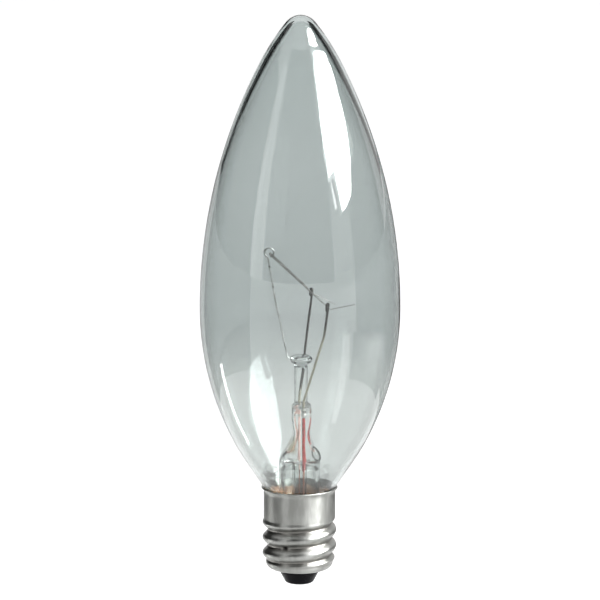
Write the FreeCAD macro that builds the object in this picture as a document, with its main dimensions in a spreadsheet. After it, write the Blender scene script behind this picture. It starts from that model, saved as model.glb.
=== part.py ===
import FreeCAD, Part
import Sketcher
import math
import os
from FreeCAD import Vector

# Clear candle bulb with a small screw base: a blown glass envelope round a glass mount
# that carries the filament, cemented into a rolled screw shell.
# Millimetres. +Z runs up the axis of the bulb, and z = 0 is the lowest face of the
# centre contact. The bulb is looked at from -Y, with +X to the right.

doc = FreeCAD.newDocument("candle_bulb")

# Driving sizes
SIZES = [
    ("glass_radius", 15.9, "largest radius of the envelope"),
    ("glass_mid", 44.9, "height of the largest radius"),
    ("glass_top", 91.6, "top of the tip"),
    ("glass_wall", 0.7, "wall of the envelope"),
    ("turn_rise_share", 0.8373, "where the long upper side turns in, as a share of the way to the top"),
    ("turn_share", 0.4069, "radius there, as a share of the largest one"),
    ("tip_radius", 3.0, "round of the tip"),
    ("cone_run", 4.78, "straight side of the glass between the rim and the lower arc"),
    ("neck_radius", 4.45, "outside of the neck"),
    ("neck_bottom", 10.2, "lower edge of the neck"),
    ("neck_fillet", 2.5, "turn from the neck into the lower cone"),
    ("sheet", 0.25, "thickness of the rolled shell"),
    ("skirt_radius", 5.7, "outside of the plain collar of the shell"),
    ("collar_gap", 0.076, "clearance from the collar to the glass where the collar starts to flare"),
    ("rim_radius", 6.09, "outside of the flared rim"),
    ("rim_top", 15.85, "upper edge of the shell"),
    ("rim_gap", 0.04, "clearance from the rim to the glass"),
    ("thread_top", 10.95, "where the collar meets the thread"),
    ("crest_radius", 5.88, "outside of the thread"),
    ("root_radius", 5.1, "bottom of the thread's groove, outside"),
    ("thread_pitch", 2.54, "ten turns to the inch"),
    ("crest_height", 1.2, "height of a crest on the +X side, before whole pitches are added"),
    ("thread_fade", 0.9, "height over which the thread fades in and out"),
    ("crest_round", 0.12, "how much fuller the crests are than the grooves"),
    ("roll_step", 0.02, "how far the rolled thread's ends stand in from the collar and the floor"),
    ("curl_edge", 5.35, "outside radius where the shell turns under"),
    ("curl_radius", 1.0, "outside radius of that turn"),
    ("floor_height", 2.57, "underside of the shell's floor"),
    ("floor_hole", 3.36, "radius of the hole in the shell's floor"),
    ("insulator_bottom", 0.1, "underside of the black glass"),
    ("insulator_flat", 1.62, "radius of its flat underside"),
    ("insulator_edge", 2.18, "radius at the top of its rounded corner"),
    ("insulator_corner", 0.55, "height of that corner"),
    ("insulator_round", 0.62, "radius of that corner"),
    ("insulator_top", 4.3, "upper face of the black glass, in the shell"),
    ("insulator_brim", 4.65, "radius of that upper face"),
    ("wire_hole", 0.6, "radius of the hole for the centre wire"),
    ("plate_bottom", 0.04, "underside of the contact plate"),
    ("plate_thickness", 0.3, "thickness of the contact plate"),
    ("plate_radius", 1.45, "radius of the contact plate"),
    ("barrel_radius", 0.72, "outside of the plate's barrel"),
    ("barrel_bore", 0.5, "inside of the plate's barrel"),
    ("barrel_top", 1.3, "top of the plate's barrel"),
    ("solder_flat", 0.55, "radius of the flat face of the solder"),
    ("solder_radius", 0.95, "how far the solder spreads on the plate"),
    ("solder_top", 0.9, "how far the solder fills the barrel"),
    ("wire_end", 0.25, "lower end of the centre wire, in the solder"),
    ("cement_bottom", 11.5, "lower face of the cement"),
    ("cement_land", 0.142, "width of the cement's upper face, between the glass and the collar"),
    ("flare_bottom", 9.4, "lower edge of the flare"),
    ("flare_top", 12.6, "where the flare becomes a plain tube"),
    ("flare_gap", 0.05, "clearance from the flare to the inside of the neck"),
    ("bead_wall", 1.0, "wall of the fused bead at the flare's lower edge"),
    ("tube_radius", 3.3, "outside of the flare tube"),
    ("tube_wall", 0.7, "wall of the flare tube"),
    ("tube_top", 20.0, "where the tube runs into the shoulder"),
    ("press_bottom", 23.2, "where the shoulder runs into the press"),
    ("press_height", 6.2, "height of the press"),
    ("press_thickness", 2.4, "thickness of the flat press"),
    ("press_width", 7.8, "width of the press, from front to back"),
    ("press_offset", 0.3, "how far the press stands off the axis, to the right"),
    ("mount_angle", 11.5, "degrees that the press is turned about the axis"),
    ("exhaust_radius", 1.15, "outside of the exhaust tube"),
    ("exhaust_bore", 0.8, "inside of the exhaust tube"),
    ("exhaust_seat", 1.1, "how far the exhaust tube goes into the shoulder"),
    ("exhaust_channel", 1.2, "how far its bore runs on into the shoulder"),
    ("exhaust_tip", 7.4, "sealed end of the exhaust tube"),
    ("exhaust_taper", 2.2, "length of the drawn end"),
    ("vent_radius", 0.5, "hole from the exhaust tube into the bulb"),
    ("rod_radius", 1.08, "glass rod"),
    ("rod_offset", 0.2, "how far the rod stands off the axis, to the right"),
    ("button_height", 36.6, "middle of the button on the rod"),
    ("button_radius", 1.8, "radius of the button"),
    ("button_half", 0.95, "half the height of the button"),
    ("seal_radius", 0.2, "copper-clad wire through the press"),
    ("seal_spread", 1.6, "distance of that wire from the middle of the press"),
    ("seal_bottom", 19.0, "where that wire meets the outer lead"),
    ("weld_height", 28.2, "where that wire meets the inner lead"),
    ("lead_radius", 0.21, "nickel lead"),
    ("outer_radius", 0.14, "copper outer lead"),
    ("lead_bend", 2.5, "radius of the bends of the leads"),
    ("hook_radius", 0.32, "middle line of the hook over the filament leg"),
    ("hook_tail", 0.75, "length of the hook's free end"),
    ("clamp_height", 46.3, "height of both hooks"),
    ("clamp_spread", 6.0, "distance of each hook from the middle, in depth"),
    ("front_clamp_right", 4.3, "front hook, to the right of the axis"),
    ("rear_clamp_right", 1.85, "rear hook, to the right of the axis"),
    ("lead_rise", 0.7, "straight stretch of each lead above the press"),
    ("knee_drop", 4.8, "bend of each lead, below its hook"),
    ("knee_left", 0.5, "bend of each lead, to the left of its hook"),
    ("knee_in", 0.45, "bend of each lead, nearer the axis than its hook"),
    ("hook_lift", 0.2, "middle of the hook's turn above the filament leg"),
    ("outer_bend", 0.8, "radius of the bends of the outer leads"),
    ("centre_turn", 8.2, "where the rear outer lead turns in to the axis"),
    ("centre_run", 5.0, "where it reaches the axis"),
    ("side_turn", 8.9, "where the front outer lead turns out to the shell"),
    ("stake_angle", 244.0, "degrees round the axis to its place on the shell"),
    ("stake_height", 6.8, "height of that place, in a groove of the thread"),
    ("stake_gap", 0.12, "clearance from the wire's end to the shell"),
    ("support_radius", 0.14, "molybdenum support wire"),
    ("support_root", 0.75, "buried end of the support wire, left of the axis"),
    ("support_depth", 0.55, "buried end, below the middle of the button"),
    ("support_exit", 1.95, "where the wire leaves the button, left of the axis"),
    ("support_rise", 0.3, "where it leaves, above the middle of the button"),
    ("support_bend", 0.4, "radius of its bend above the button"),
    ("bow_share", 0.52, "place of its slight bow, as a share of the way up to the loop"),
    ("bow_left", 0.16, "how far it bows out to the left there"),
    ("loop_entry_angle", 254.0, "degrees round the loop where the wire enters it"),
    ("loop_sweep_angle", 322.0, "degrees of the loop"),
    ("loop_left", 4.9, "middle of the support's loop, to the left of the axis"),
    ("loop_height", 53.8, "height of the middle of that loop"),
    ("loop_radius", 0.75, "middle line of that loop"),
    ("coil_radius", 0.2, "outside of the coiled filament"),
    ("leg_radius", 0.075, "straight leg of the filament"),
    ("leg_length", 1.1, "straight leg between the coil and the hook"),
    ("apex_right", 0.16, "filament in the loop, to the right of its middle"),
    ("apex_drop", 0.2, "filament in the loop, below its middle"),
    ("apex_run", 0.5, "straight run of the filament on each side of the loop"),
    ("apex_bend", 0.45, "radius of the filament's bends beside the loop"),
    ("tail_start", 0.6, "where the loose end bends off, past the hook"),
    ("tail_bend", 0.5, "radius of that bend"),
    ("rear_tail_right", 3.4, "loose end past the rear hook, to the right"),
    ("rear_tail_depth", 2.0, "loose end past the rear hook, in depth, away from the axis"),
    ("rear_tail_rise", -2.1, "loose end past the rear hook, upwards"),
    ("front_tail_right", 3.8, "loose end past the front hook, to the right"),
    ("front_tail_depth", 1.0, "loose end past the front hook, in depth, away from the axis"),
    ("front_tail_rise", 1.0, "loose end past the front hook, upwards"),
]

sheet = doc.addObject("Spreadsheet::Sheet", "Sizes")
for row, (alias, number, note) in enumerate(SIZES, 1):
    sheet.set("A%d" % row, note)
    sheet.set("B%d" % row, str(number))
    sheet.setAlias("B%d" % row, alias)

# Places that follow from the driving sizes, for the outlines that share them
PLACES = [
    # shell
    ("skirt_bore", "=Sizes.skirt_radius - Sizes.sheet"),
    ("rim_bore", "=Sizes.rim_radius - Sizes.sheet"),
    ("curl_bore", "=Sizes.curl_edge - Sizes.sheet"),
    ("curl_height", "=Sizes.floor_height + Sizes.curl_radius"),
    ("curl_middle", "=Sizes.curl_edge - Sizes.curl_radius"),
    ("floor_top", "=Sizes.floor_height + Sizes.sheet"),
    ("curl_inside", "=Sizes.curl_radius - Sizes.sheet"),
    ("thread_foot", "=curl_bore - Sizes.roll_step"),
    # lower side of the glass: an arc that meets a straight run from the rim
    ("rim_glass", "=rim_bore - Sizes.rim_gap"),
    ("rim_out", "=Sizes.glass_radius - rim_glass"),
    ("rim_drop", "=Sizes.glass_mid - Sizes.rim_top"),
    ("lower_arc", "=(rim_out ^ 2 + rim_drop ^ 2 - Sizes.cone_run ^ 2) / (2 * rim_out)"),
    ("lower_centre", "=Sizes.glass_radius - lower_arc"),
    ("rim_reach", "=sqrt((rim_glass - lower_centre) ^ 2 + rim_drop ^ 2)"),
    ("rim_angle", "=asin(rim_drop / rim_reach)"),
    ("cone_angle", "=rim_angle - acos(lower_arc / rim_reach)"),
    ("cone_top_radius", "=lower_centre + lower_arc * cos(cone_angle)"),
    ("cone_top_height", "=Sizes.glass_mid - lower_arc * sin(cone_angle)"),
    ("neck_corner", "=Sizes.rim_top - (rim_glass - Sizes.neck_radius) / tan(cone_angle)"),
    ("skirt_top", "=Sizes.rim_top - (rim_glass - skirt_bore + Sizes.collar_gap) / tan(cone_angle)"),
    ("cement_bore", "=skirt_bore - Sizes.cement_land"),
    ("cement_top", "=Sizes.rim_top - (rim_glass - cement_bore) / tan(cone_angle)"),
    ("fillet_reach", "=Sizes.neck_fillet * tan(cone_angle / 2)"),
    ("neck_top", "=neck_corner - fillet_reach"),
    ("cone_foot_radius", "=Sizes.neck_radius + fillet_reach * sin(cone_angle)"),
    ("cone_foot_height", "=neck_corner + fillet_reach * cos(cone_angle)"),
    # upper side of the glass: a long arc, a shorter one that turns in, and a round tip
    ("turn_radius", "=Sizes.glass_radius * Sizes.turn_share"),
    ("upper_in", "=Sizes.glass_radius - turn_radius"),
    ("upper_rise", "=(Sizes.glass_top - Sizes.glass_mid) * Sizes.turn_rise_share"),
    ("turn_height", "=Sizes.glass_mid + upper_rise"),
    ("upper_arc", "=(upper_in ^ 2 + upper_rise ^ 2) / (2 * upper_in)"),
    ("upper_angle", "=asin(upper_rise / upper_arc)"),
    ("tip_middle", "=Sizes.glass_top - Sizes.tip_radius"),
    ("tip_below", "=tip_middle - turn_height"),
    ("tip_side", "=turn_radius * cos(upper_angle) - tip_below * sin(upper_angle)"),
    ("tip_room", "=turn_radius ^ 2 + tip_below ^ 2 - Sizes.tip_radius ^ 2"),
    ("tip_arc", "=tip_room / (2 * (tip_side - Sizes.tip_radius))"),
    ("turn_centre", "=turn_radius - tip_arc * cos(upper_angle)"),
    ("tip_angle", "=acos(-turn_centre / (tip_arc - Sizes.tip_radius))"),
    ("tip_edge", "=Sizes.tip_radius * cos(tip_angle)"),
    ("tip_height", "=Sizes.glass_top - Sizes.tip_radius * (1 - sin(tip_angle))"),
    # inside of the glass, one wall in from the outside
    ("neck_bore", "=Sizes.neck_radius - Sizes.glass_wall"),
    ("wall_in", "=Sizes.glass_wall * cos(cone_angle)"),
    ("wall_up", "=Sizes.glass_wall * sin(cone_angle)"),
    ("fillet_inside", "=Sizes.neck_fillet + Sizes.glass_wall"),
    ("foot_bore", "=cone_foot_radius - wall_in"),
    ("foot_inside", "=cone_foot_height + wall_up"),
    ("cone_bore", "=cone_top_radius - wall_in"),
    ("cone_inside", "=cone_top_height + wall_up"),
    ("lower_inside", "=lower_arc - Sizes.glass_wall"),
    ("mid_bore", "=Sizes.glass_radius - Sizes.glass_wall"),
    ("upper_inside", "=upper_arc - Sizes.glass_wall"),
    ("turn_bore", "=turn_radius - Sizes.glass_wall * cos(upper_angle)"),
    ("turn_inside", "=turn_height - Sizes.glass_wall * sin(upper_angle)"),
    ("tip_arc_inside", "=tip_arc - Sizes.glass_wall"),
    ("tip_inside", "=Sizes.tip_radius - Sizes.glass_wall"),
    ("tip_bore", "=tip_inside * cos(tip_angle)"),
    ("tip_low", "=tip_height - Sizes.glass_wall * sin(tip_angle)"),
    ("top_inside", "=Sizes.glass_top - Sizes.glass_wall"),
    # stem
    ("flare_edge", "=neck_bore - Sizes.flare_gap"),
    ("tube_bore", "=Sizes.tube_radius - Sizes.tube_wall"),
    ("flare_step", "=flare_edge - Sizes.tube_radius"),
    ("flare_rise", "=Sizes.flare_top - Sizes.neck_bottom"),
    ("flare_sweep", "=(flare_step ^ 2 + flare_rise ^ 2) / (2 * flare_step)"),
    ("flare_mouth", "=Sizes.neck_radius - Sizes.bead_wall"),
    ("mouth_step", "=flare_mouth - tube_bore"),
    ("mouth_rise", "=Sizes.flare_top - Sizes.flare_bottom"),
    ("mouth_sweep", "=(mouth_step ^ 2 + mouth_rise ^ 2) / (2 * mouth_step)"),
    ("press_top", "=Sizes.press_bottom + Sizes.press_height"),
    ("press_round", "=Sizes.press_thickness / 2"),
    ("press_reach", "=(Sizes.press_width - Sizes.press_thickness) / 2"),
    ("vent_height", "=seat_top + Sizes.exhaust_channel / 2"),
    ("seat_top", "=Sizes.tube_top + Sizes.exhaust_seat"),
    ("taper_top", "=Sizes.exhaust_tip + Sizes.exhaust_taper"),
    ("tip_wall", "=Sizes.exhaust_tip + 2 * (Sizes.exhaust_radius - Sizes.exhaust_bore)"),
    ("taper_reach", "=Sizes.exhaust_taper ^ 2 + Sizes.exhaust_radius ^ 2"),
    ("taper_round", "=taper_reach / (2 * Sizes.exhaust_radius)"),
    ("bore_taper", "=taper_top - tip_wall"),
    ("bore_round", "=(bore_taper ^ 2 + Sizes.exhaust_bore ^ 2) / (2 * Sizes.exhaust_bore)"),
    ("button_middle", "=Sizes.button_radius - Sizes.button_half"),
    ("button_root", "=sqrt(Sizes.button_half ^ 2 - (Sizes.rod_radius - button_middle) ^ 2)"),
    ("button_low", "=Sizes.button_height - button_root"),
    ("button_top", "=Sizes.button_height + Sizes.button_half"),
    # contact
    ("plate_top", "=Sizes.plate_bottom + Sizes.plate_thickness"),
    ("cone_start", "=Sizes.insulator_bottom + Sizes.insulator_corner"),
]

places = doc.addObject("Spreadsheet::Sheet", "Places")
for row, (alias, formula) in enumerate(PLACES, 1):
    places.set("A%d" % row, alias.replace("_", " "))
    places.setAlias("B%d" % row, alias)
for row, (alias, formula) in enumerate(PLACES, 1):
    places.set("B%d" % row, formula)
doc.recompute()

DRIVING = [alias for alias, number, note in SIZES]

# A wire's volume may be this share off its section times its length, for the bends
VOLUME_LEEWAY = 0.03
# The hook's two bends take this share of the half turn's radius, so a short flat stays between
HOOK_SHARE = 0.98
# Degree of the spline surface through the thread's wave
DEGREE = 3


def size(alias):
    """Number in the cell of that name."""
    source = sheet if alias in DRIVING else places
    return float(source.get(alias))


def cell(alias):
    """Expression that names the cell."""
    source = "Sizes." if alias in DRIVING else "Places."
    return source + alias


# Work methods


def new_body(label):
    """Empty body with the name of its piece."""
    body = doc.addObject("PartDesign::Body", label)
    body.Label = label
    return body


def new_sketch(body, role, name, height=None, turn=None):
    """Sketch on one of the body's own planes, raised and turned by the cells named."""
    plane = [item for item in body.Origin.OriginFeatures if item.Role == role][0]
    sketch = body.newObject("Sketcher::SketchObject", name)
    sketch.AttachmentSupport = [(plane, "")]
    sketch.MapMode = "FlatFace"
    if turn:
        sketch.AttachmentOffset = FreeCAD.Placement(Vector(0, 0, 0), Vector(0, 0, 1), size(turn))
        sketch.setExpression("AttachmentOffset.Rotation.Angle", cell(turn) + " * 1 deg")
    if height:
        sketch.setExpression("AttachmentOffset.Base.z", cell(height))
    return sketch


def bind(sketch, kind, places_on, number, expression):
    """Dimension of the sketch that follows a cell."""
    index = sketch.addConstraint(Sketcher.Constraint(kind, *places_on, number))
    sketch.setExpression("Constraints[%d]" % index, expression)


def outline(sketch, corners):
    """Closed outline. A corner is (radius cell, height cell), or None for a place on the axis,
    and (radius cell, turn) after it when the side that leaves it is an arc: turn is 1
    for a side that turns left and -1 for one that turns right."""
    points = []
    for corner in corners:
        right = size(corner[0]) if corner[0] else 0.0
        points.append(Vector(right, size(corner[1]) if corner[1] else 0.0, 0))
    ends = []
    for number, corner in enumerate(corners):
        start = points[number]
        finish = points[(number + 1) % len(points)]
        if len(corner) == 2:
            sketch.addGeometry(Part.LineSegment(start, finish))
            ends.append((1, 2))
            continue
        radius, turn = size(corner[2]), corner[3]
        chord = finish - start
        left = Vector(-chord.y, chord.x, 0).normalize()
        reach = math.sqrt(radius ** 2 - (chord.Length / 2) ** 2)
        centre = (start + finish) * 0.5 + left * (reach * turn)
        first, last = (start, finish) if turn > 0 else (finish, start)
        angles = [math.atan2(end.y - centre.y, end.x - centre.x) for end in (first, last)]
        circle = Part.Circle(centre, Vector(0, 0, 1), radius)
        side = sketch.addGeometry(Part.ArcOfCircle(circle, *angles))
        bind(sketch, "Radius", (side,), radius, cell(corner[2]))
        ends.append((1, 2) if turn > 0 else (2, 1))
    for number, corner in enumerate(corners):
        following = (number + 1) % len(corners)
        joint = (number, ends[number][1], following, ends[following][0])
        sketch.addConstraint(Sketcher.Constraint("Coincident", *joint))
        place = (number, ends[number][0])
        for kind, alias, axis, value in (("DistanceX", corner[0], -2, points[number].x),
                                         ("DistanceY", corner[1], -1, points[number].y)):
            if alias:
                bind(sketch, kind, (-1, 1) + place, value, cell(alias))
            else:
                sketch.addConstraint(Sketcher.Constraint("PointOnObject", *place, axis))


def ring(sketch, right, up, radius):
    """Circle whose middle and radius follow expressions: (number, expression) each."""
    circle = Part.Circle(Vector(right[0], up[0], 0), Vector(0, 0, 1), size(radius))
    side = sketch.addGeometry(circle)
    bind(sketch, "Radius", (side,), size(radius), cell(radius))
    for kind, axis, middle in (("DistanceX", -2, right), ("DistanceY", -1, up)):
        if middle[1] is None:
            sketch.addConstraint(Sketcher.Constraint("PointOnObject", side, 3, axis))
        elif middle[0] < 0:
            bind(sketch, kind, (side, 3, -1, 1), -middle[0], middle[1])
        else:
            bind(sketch, kind, (-1, 1, side, 3), middle[0], middle[1])


def turned(label, corners, offset=None):
    """Body turned about the axis from one outline."""
    body = new_body(label)
    sketch = new_sketch(body, "XZ_Plane", label + "_outline")
    outline(sketch, corners)
    turn = body.newObject("PartDesign::Revolution", label + "_turned")
    turn.Profile = sketch
    turn.ReferenceAxis = (sketch, ["V_Axis"])
    turn.Angle = 360
    if offset:
        body.setExpression("Placement.Base.x", cell(offset))
    doc.recompute()
    return body


def pocket(body, sketch, name, depth, upwards=False):
    """Pocket of the depth in a cell, downwards unless said otherwise, checked by volume."""
    before = body.Shape.Volume
    cut = body.newObject("PartDesign::Pocket", name)
    cut.Profile = sketch
    cut.Reversed = upwards
    cut.setExpression("Length", depth)
    doc.recompute()
    if body.Shape.Volume >= before:
        raise RuntimeError(name + " cuts nothing")


def bent_path(stops):
    """Wire of straight runs and tangent arcs through (point, bend radius) stops."""
    edges = []
    here = stops[0][0]
    for number in range(1, len(stops) - 1):
        corner, bend = stops[number]
        back = (stops[number - 1][0] - corner).normalize()
        ahead = (stops[number + 1][0] - corner).normalize()
        turn = math.pi - back.getAngle(ahead)
        reach = bend * math.tan(turn / 2)
        enter = corner + back * reach
        leave = corner + ahead * reach
        halfway = (back + ahead).normalize()
        middle = corner + halfway * (bend / math.cos(turn / 2) - bend)
        edges.append(Part.LineSegment(here, enter).toShape())
        edges.append(Part.Arc(enter, middle, leave).toShape())
        here = leave
    edges.append(Part.LineSegment(here, stops[-1][0]).toShape())
    return Part.Wire(edges)


def drawn_wire(path, radius):
    """Round wire along a path."""
    start = path.OrderedVertexes[0].Point
    heading = path.OrderedEdges[0].tangentAt(path.OrderedEdges[0].FirstParameter)
    section = Part.Wire([Part.Circle(start, heading, radius).toShape()])
    solid = path.makePipeShell([section], True, False)
    expected = math.pi * radius ** 2 * path.Length
    if abs(solid.Volume / expected - 1) > VOLUME_LEEWAY:
        raise RuntimeError("a wire has the wrong volume")
    return solid


def feature(label, shape):
    """Piece whose form is worked out here."""
    item = doc.addObject("Part::Feature", label)
    item.Label = label
    item.Shape = shape
    return item


def in_press(across, height):
    """Point in the middle plane of the press: across is the distance from its middle."""
    turn = math.radians(size("mount_angle"))
    right = size("press_offset") * math.cos(turn) - across * math.sin(turn)
    back = size("press_offset") * math.sin(turn) + across * math.cos(turn)
    return Vector(right, back, height)


def slot(sketch):
    """Outline of the press: two straight sides and two round ends."""
    right = size("press_offset")
    radius = size("press_round")
    reach = size("press_reach")
    back = Vector(right, reach, 0)
    front = Vector(right, -reach, 0)
    aside = Vector(radius, 0, 0)
    up = Vector(0, 0, 1)
    sketch.addGeometry(Part.LineSegment(front + aside, back + aside))
    sketch.addGeometry(Part.ArcOfCircle(Part.Circle(back, up, radius), 0, math.pi))
    sketch.addGeometry(Part.LineSegment(back - aside, front - aside))
    sketch.addGeometry(Part.ArcOfCircle(Part.Circle(front, up, radius), math.pi, 2 * math.pi))
    for joint in ((0, 2, 1, 1), (1, 2, 2, 1), (2, 2, 3, 1), (3, 2, 0, 1)):
        sketch.addConstraint(Sketcher.Constraint("Tangent", *joint))
    for side, ends in ((1, (-1, 1, 1, 3)), (3, (3, 3, -1, 1))):
        bind(sketch, "Radius", (side,), radius, cell("press_round"))
        bind(sketch, "DistanceY", ends, reach, cell("press_reach"))
        bind(sketch, "DistanceX", (-1, 1, side, 3), right, cell("press_offset"))


# Blown envelope: one closed wall of even thickness, open at the neck

turned("glass_envelope", [
    ("neck_radius", "neck_bottom"),
    ("neck_radius", "neck_top", "neck_fillet", -1),
    ("cone_foot_radius", "cone_foot_height"),
    ("cone_top_radius", "cone_top_height", "lower_arc", 1),
    ("glass_radius", "glass_mid", "upper_arc", 1),
    ("turn_radius", "turn_height", "tip_arc", 1),
    ("tip_edge", "tip_height", "tip_radius", 1),
    (None, "glass_top"),
    (None, "top_inside", "tip_inside", -1),
    ("tip_bore", "tip_low", "tip_arc_inside", -1),
    ("turn_bore", "turn_inside", "upper_inside", -1),
    ("mid_bore", "glass_mid", "lower_inside", -1),
    ("cone_bore", "cone_inside"),
    ("foot_bore", "foot_inside", "fillet_inside", 1),
    ("neck_bore", "neck_top"),
    ("neck_bore", "neck_bottom"),
])

# Glass foot of the mount: the flare that closes the neck, its tube, the shoulder and the
# flat press, with the bores that the sealed wires fill

foot = turned("stem_flare", [
    ("neck_radius", "flare_bottom"),
    ("neck_radius", "neck_bottom"),
    ("flare_edge", "neck_bottom", "flare_sweep", -1),
    ("tube_radius", "flare_top"),
    ("tube_radius", "tube_top"),
    ("tube_bore", "tube_top"),
    ("tube_bore", "flare_top", "mouth_sweep", 1),
    ("flare_mouth", "flare_bottom"),
])
shoulder = new_sketch(foot, "XY_Plane", "shoulder_foot", "tube_top")
ring(shoulder, (0, None), (0, None), "tube_radius")
flat = new_sketch(foot, "XY_Plane", "press_outline", "press_bottom", "mount_angle")
slot(flat)
loft = foot.newObject("PartDesign::AdditiveLoft", "shoulder")
loft.Profile = shoulder
loft.Sections = [flat]
pad = foot.newObject("PartDesign::Pad", "press")
pad.Profile = flat
pad.setExpression("Length", "Sizes.press_height")
doc.recompute()

BORES = [
    ("seal_bores", "seal_radius", "Places.press_top - Sizes.tube_top + Sizes.seal_radius"),
    ("lead_bores", "lead_radius", "Places.press_top - Sizes.weld_height"),
]
for name, radius, depth in BORES:
    holes = new_sketch(foot, "XY_Plane", name + "_outline", "press_top", "mount_angle")
    for side in (1, -1):
        across = side * size("seal_spread")
        ring(holes, (size("press_offset"), cell("press_offset")), (across, cell("seal_spread")), radius)
    pocket(foot, holes, name, depth)

EXHAUST_BORES = [
    ("exhaust_seat_bore", "exhaust_radius", "Sizes.exhaust_seat"),
    ("exhaust_channel_bore", "exhaust_bore", "Sizes.exhaust_seat + Sizes.exhaust_channel"),
]
for name, radius, depth in EXHAUST_BORES:
    bore = new_sketch(foot, "XY_Plane", name + "_outline", "tube_top")
    ring(bore, (0, None), (0, None), radius)
    pocket(foot, bore, name, depth, upwards=True)

vent = new_sketch(foot, "YZ_Plane", "vent_outline")
ring(vent, (0, None), (size("vent_height"), cell("vent_height")), "vent_radius")
pocket(foot, vent, "vent", "Sizes.tube_radius", upwards=True)

# Exhaust tube, drawn off to a closed point inside the base

turned("exhaust_tube", [
    ("exhaust_bore", "seat_top"),
    ("exhaust_bore", "taper_top", "bore_round", -1),
    (None, "tip_wall"),
    (None, "exhaust_tip", "taper_round", 1),
    ("exhaust_radius", "taper_top"),
    ("exhaust_radius", "seat_top"),
])

# Support wire: out of the button, up to the left, and once round the filament

loop_middle = Vector(-size("loop_left"), 0, size("loop_height"))
entry = math.radians(size("loop_entry_angle"))
loop_entry = loop_middle + Vector(math.cos(entry), 0, math.sin(entry)) * size("loop_radius")
support_out = Vector(-size("support_exit"), 0, size("button_height") + size("support_rise"))
way_up = loop_entry - support_out
bow = support_out + way_up * size("bow_share") - Vector(size("bow_left"), 0, 0)
leg = bent_path([
    (Vector(-size("support_root"), 0, size("button_height") - size("support_depth")), 0),
    (support_out, size("support_bend")),
    (bow, size("lead_bend")),
    (loop_entry, 0),
])
round_loop = Part.Circle(loop_middle, Vector(0, 1, 0), size("loop_radius"))
begin = round_loop.parameter(loop_entry)
loop_arc = Part.ArcOfCircle(round_loop, begin, begin + math.radians(size("loop_sweep_angle"))).toShape()
elbow = Part.makeSphere(size("support_radius"), loop_entry)
support = drawn_wire(leg, size("support_radius"))
support = support.fuse([drawn_wire(Part.Wire([loop_arc]), size("support_radius")), elbow])
support_wire = feature("support_wire", support.removeSplitter())

# Glass rod on the press, with the button that holds the support wire

rod = turned("rod_blank", [
    (None, "press_top"),
    ("rod_radius", "press_top"),
    ("rod_radius", "button_low", "button_half", 1),
    ("button_middle", "button_top"),
    (None, "button_top"),
], offset="rod_offset")
stem_rod = doc.addObject("Part::Cut", "stem_rod")
stem_rod.Label = "stem_rod"
stem_rod.Base = rod
stem_rod.Tool = support_wire

# Wires of the two sides. Each runs as outer lead, sealed wire through the press, and inner
# lead, whose end is hooked over a leg of the filament.

apex = loop_middle + Vector(size("apex_right"), 0, -size("apex_drop"))
SIDES = [
    # name, side of the press, hook to the right, and the filament's loose end past the hook:
    # to the right, in depth and upwards
    ("rear", 1, "rear_clamp_right", "rear_tail_right", "rear_tail_depth", "rear_tail_rise"),
    ("front", -1, "front_clamp_right", "front_tail_right", "front_tail_depth", "front_tail_rise"),
]
coil_stops = []
legs = []
for name, side, clamp_right, tail_right, tail_depth, tail_rise in SIDES:
    across = side * size("seal_spread")
    weld = in_press(across, size("weld_height"))
    seal_end = in_press(across, size("seal_bottom"))
    seal = Part.makeCylinder(size("seal_radius"), weld.z - seal_end.z, seal_end)
    feature("lead_seal_" + name, seal)

    clamp = Vector(size(clamp_right), side * size("clamp_spread"), size("clamp_height"))
    bend_off = apex + Vector(0, side * size("apex_run"), 0)
    slope = (clamp - bend_off).normalize()
    aside = Vector(-slope.y * side, slope.x * side, 0).normalize()
    turn_height = clamp.z + size("hook_lift") + size("hook_radius")
    rise = clamp - aside * size("hook_radius")
    fall = clamp + aside * size("hook_radius")
    knee = clamp - Vector(size("knee_left"), side * size("knee_in"), size("knee_drop"))
    hook_bend = size("hook_radius") * HOOK_SHARE
    inner = bent_path([
        (weld, 0),
        (in_press(across, size("press_top") + size("lead_rise")), size("lead_bend") / 2),
        (knee, size("lead_bend")),
        (Vector(rise.x, rise.y, turn_height), hook_bend),
        (Vector(fall.x, fall.y, turn_height), hook_bend),
        (Vector(fall.x, fall.y, turn_height - size("hook_radius") - size("hook_tail")), 0),
    ])
    feature("lead_inner_" + name, drawn_wire(inner, size("lead_radius")))

    leg_top = clamp - slope * size("leg_length")
    bend_at = clamp + slope * size("tail_start")
    tail_end = bend_at + Vector(size(tail_right), side * size(tail_depth), size(tail_rise))
    leg_path = bent_path([(leg_top - slope * size("coil_radius"), 0),
                          (bend_at, size("tail_bend")),
                          (tail_end, 0)])
    legs.append(drawn_wire(leg_path, size("leg_radius")))
    coil_stops.append([(leg_top, 0), (bend_off, size("apex_bend"))])

coil_path = bent_path(coil_stops[0] + coil_stops[1][::-1])
coil = drawn_wire(coil_path, size("coil_radius"))
feature("filament", coil.fuse(legs).removeSplitter())

# Outer leads: the rear one to the centre contact, the front one to the shell

top = in_press(size("seal_spread"), size("seal_bottom"))
centre_lead = bent_path([
    (top, 0),
    (Vector(top.x, top.y, size("centre_turn")), size("outer_bend")),
    (Vector(0, 0, size("centre_run")), size("outer_bend")),
    (Vector(0, 0, size("wire_end")), 0),
])
feature("lead_outer_rear", drawn_wire(centre_lead, size("outer_radius")))

top = in_press(-size("seal_spread"), size("seal_bottom"))
stake = math.radians(size("stake_angle"))
stake_reach = size("root_radius") - size("sheet") - size("stake_gap") - size("outer_radius")
side_lead = bent_path([
    (top, 0),
    (Vector(top.x, top.y, size("side_turn")), size("outer_bend")),
    (Vector(stake_reach * math.cos(stake), stake_reach * math.sin(stake), size("stake_height")), 0),
])
feature("lead_outer_front", drawn_wire(side_lead, size("outer_radius")))

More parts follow.
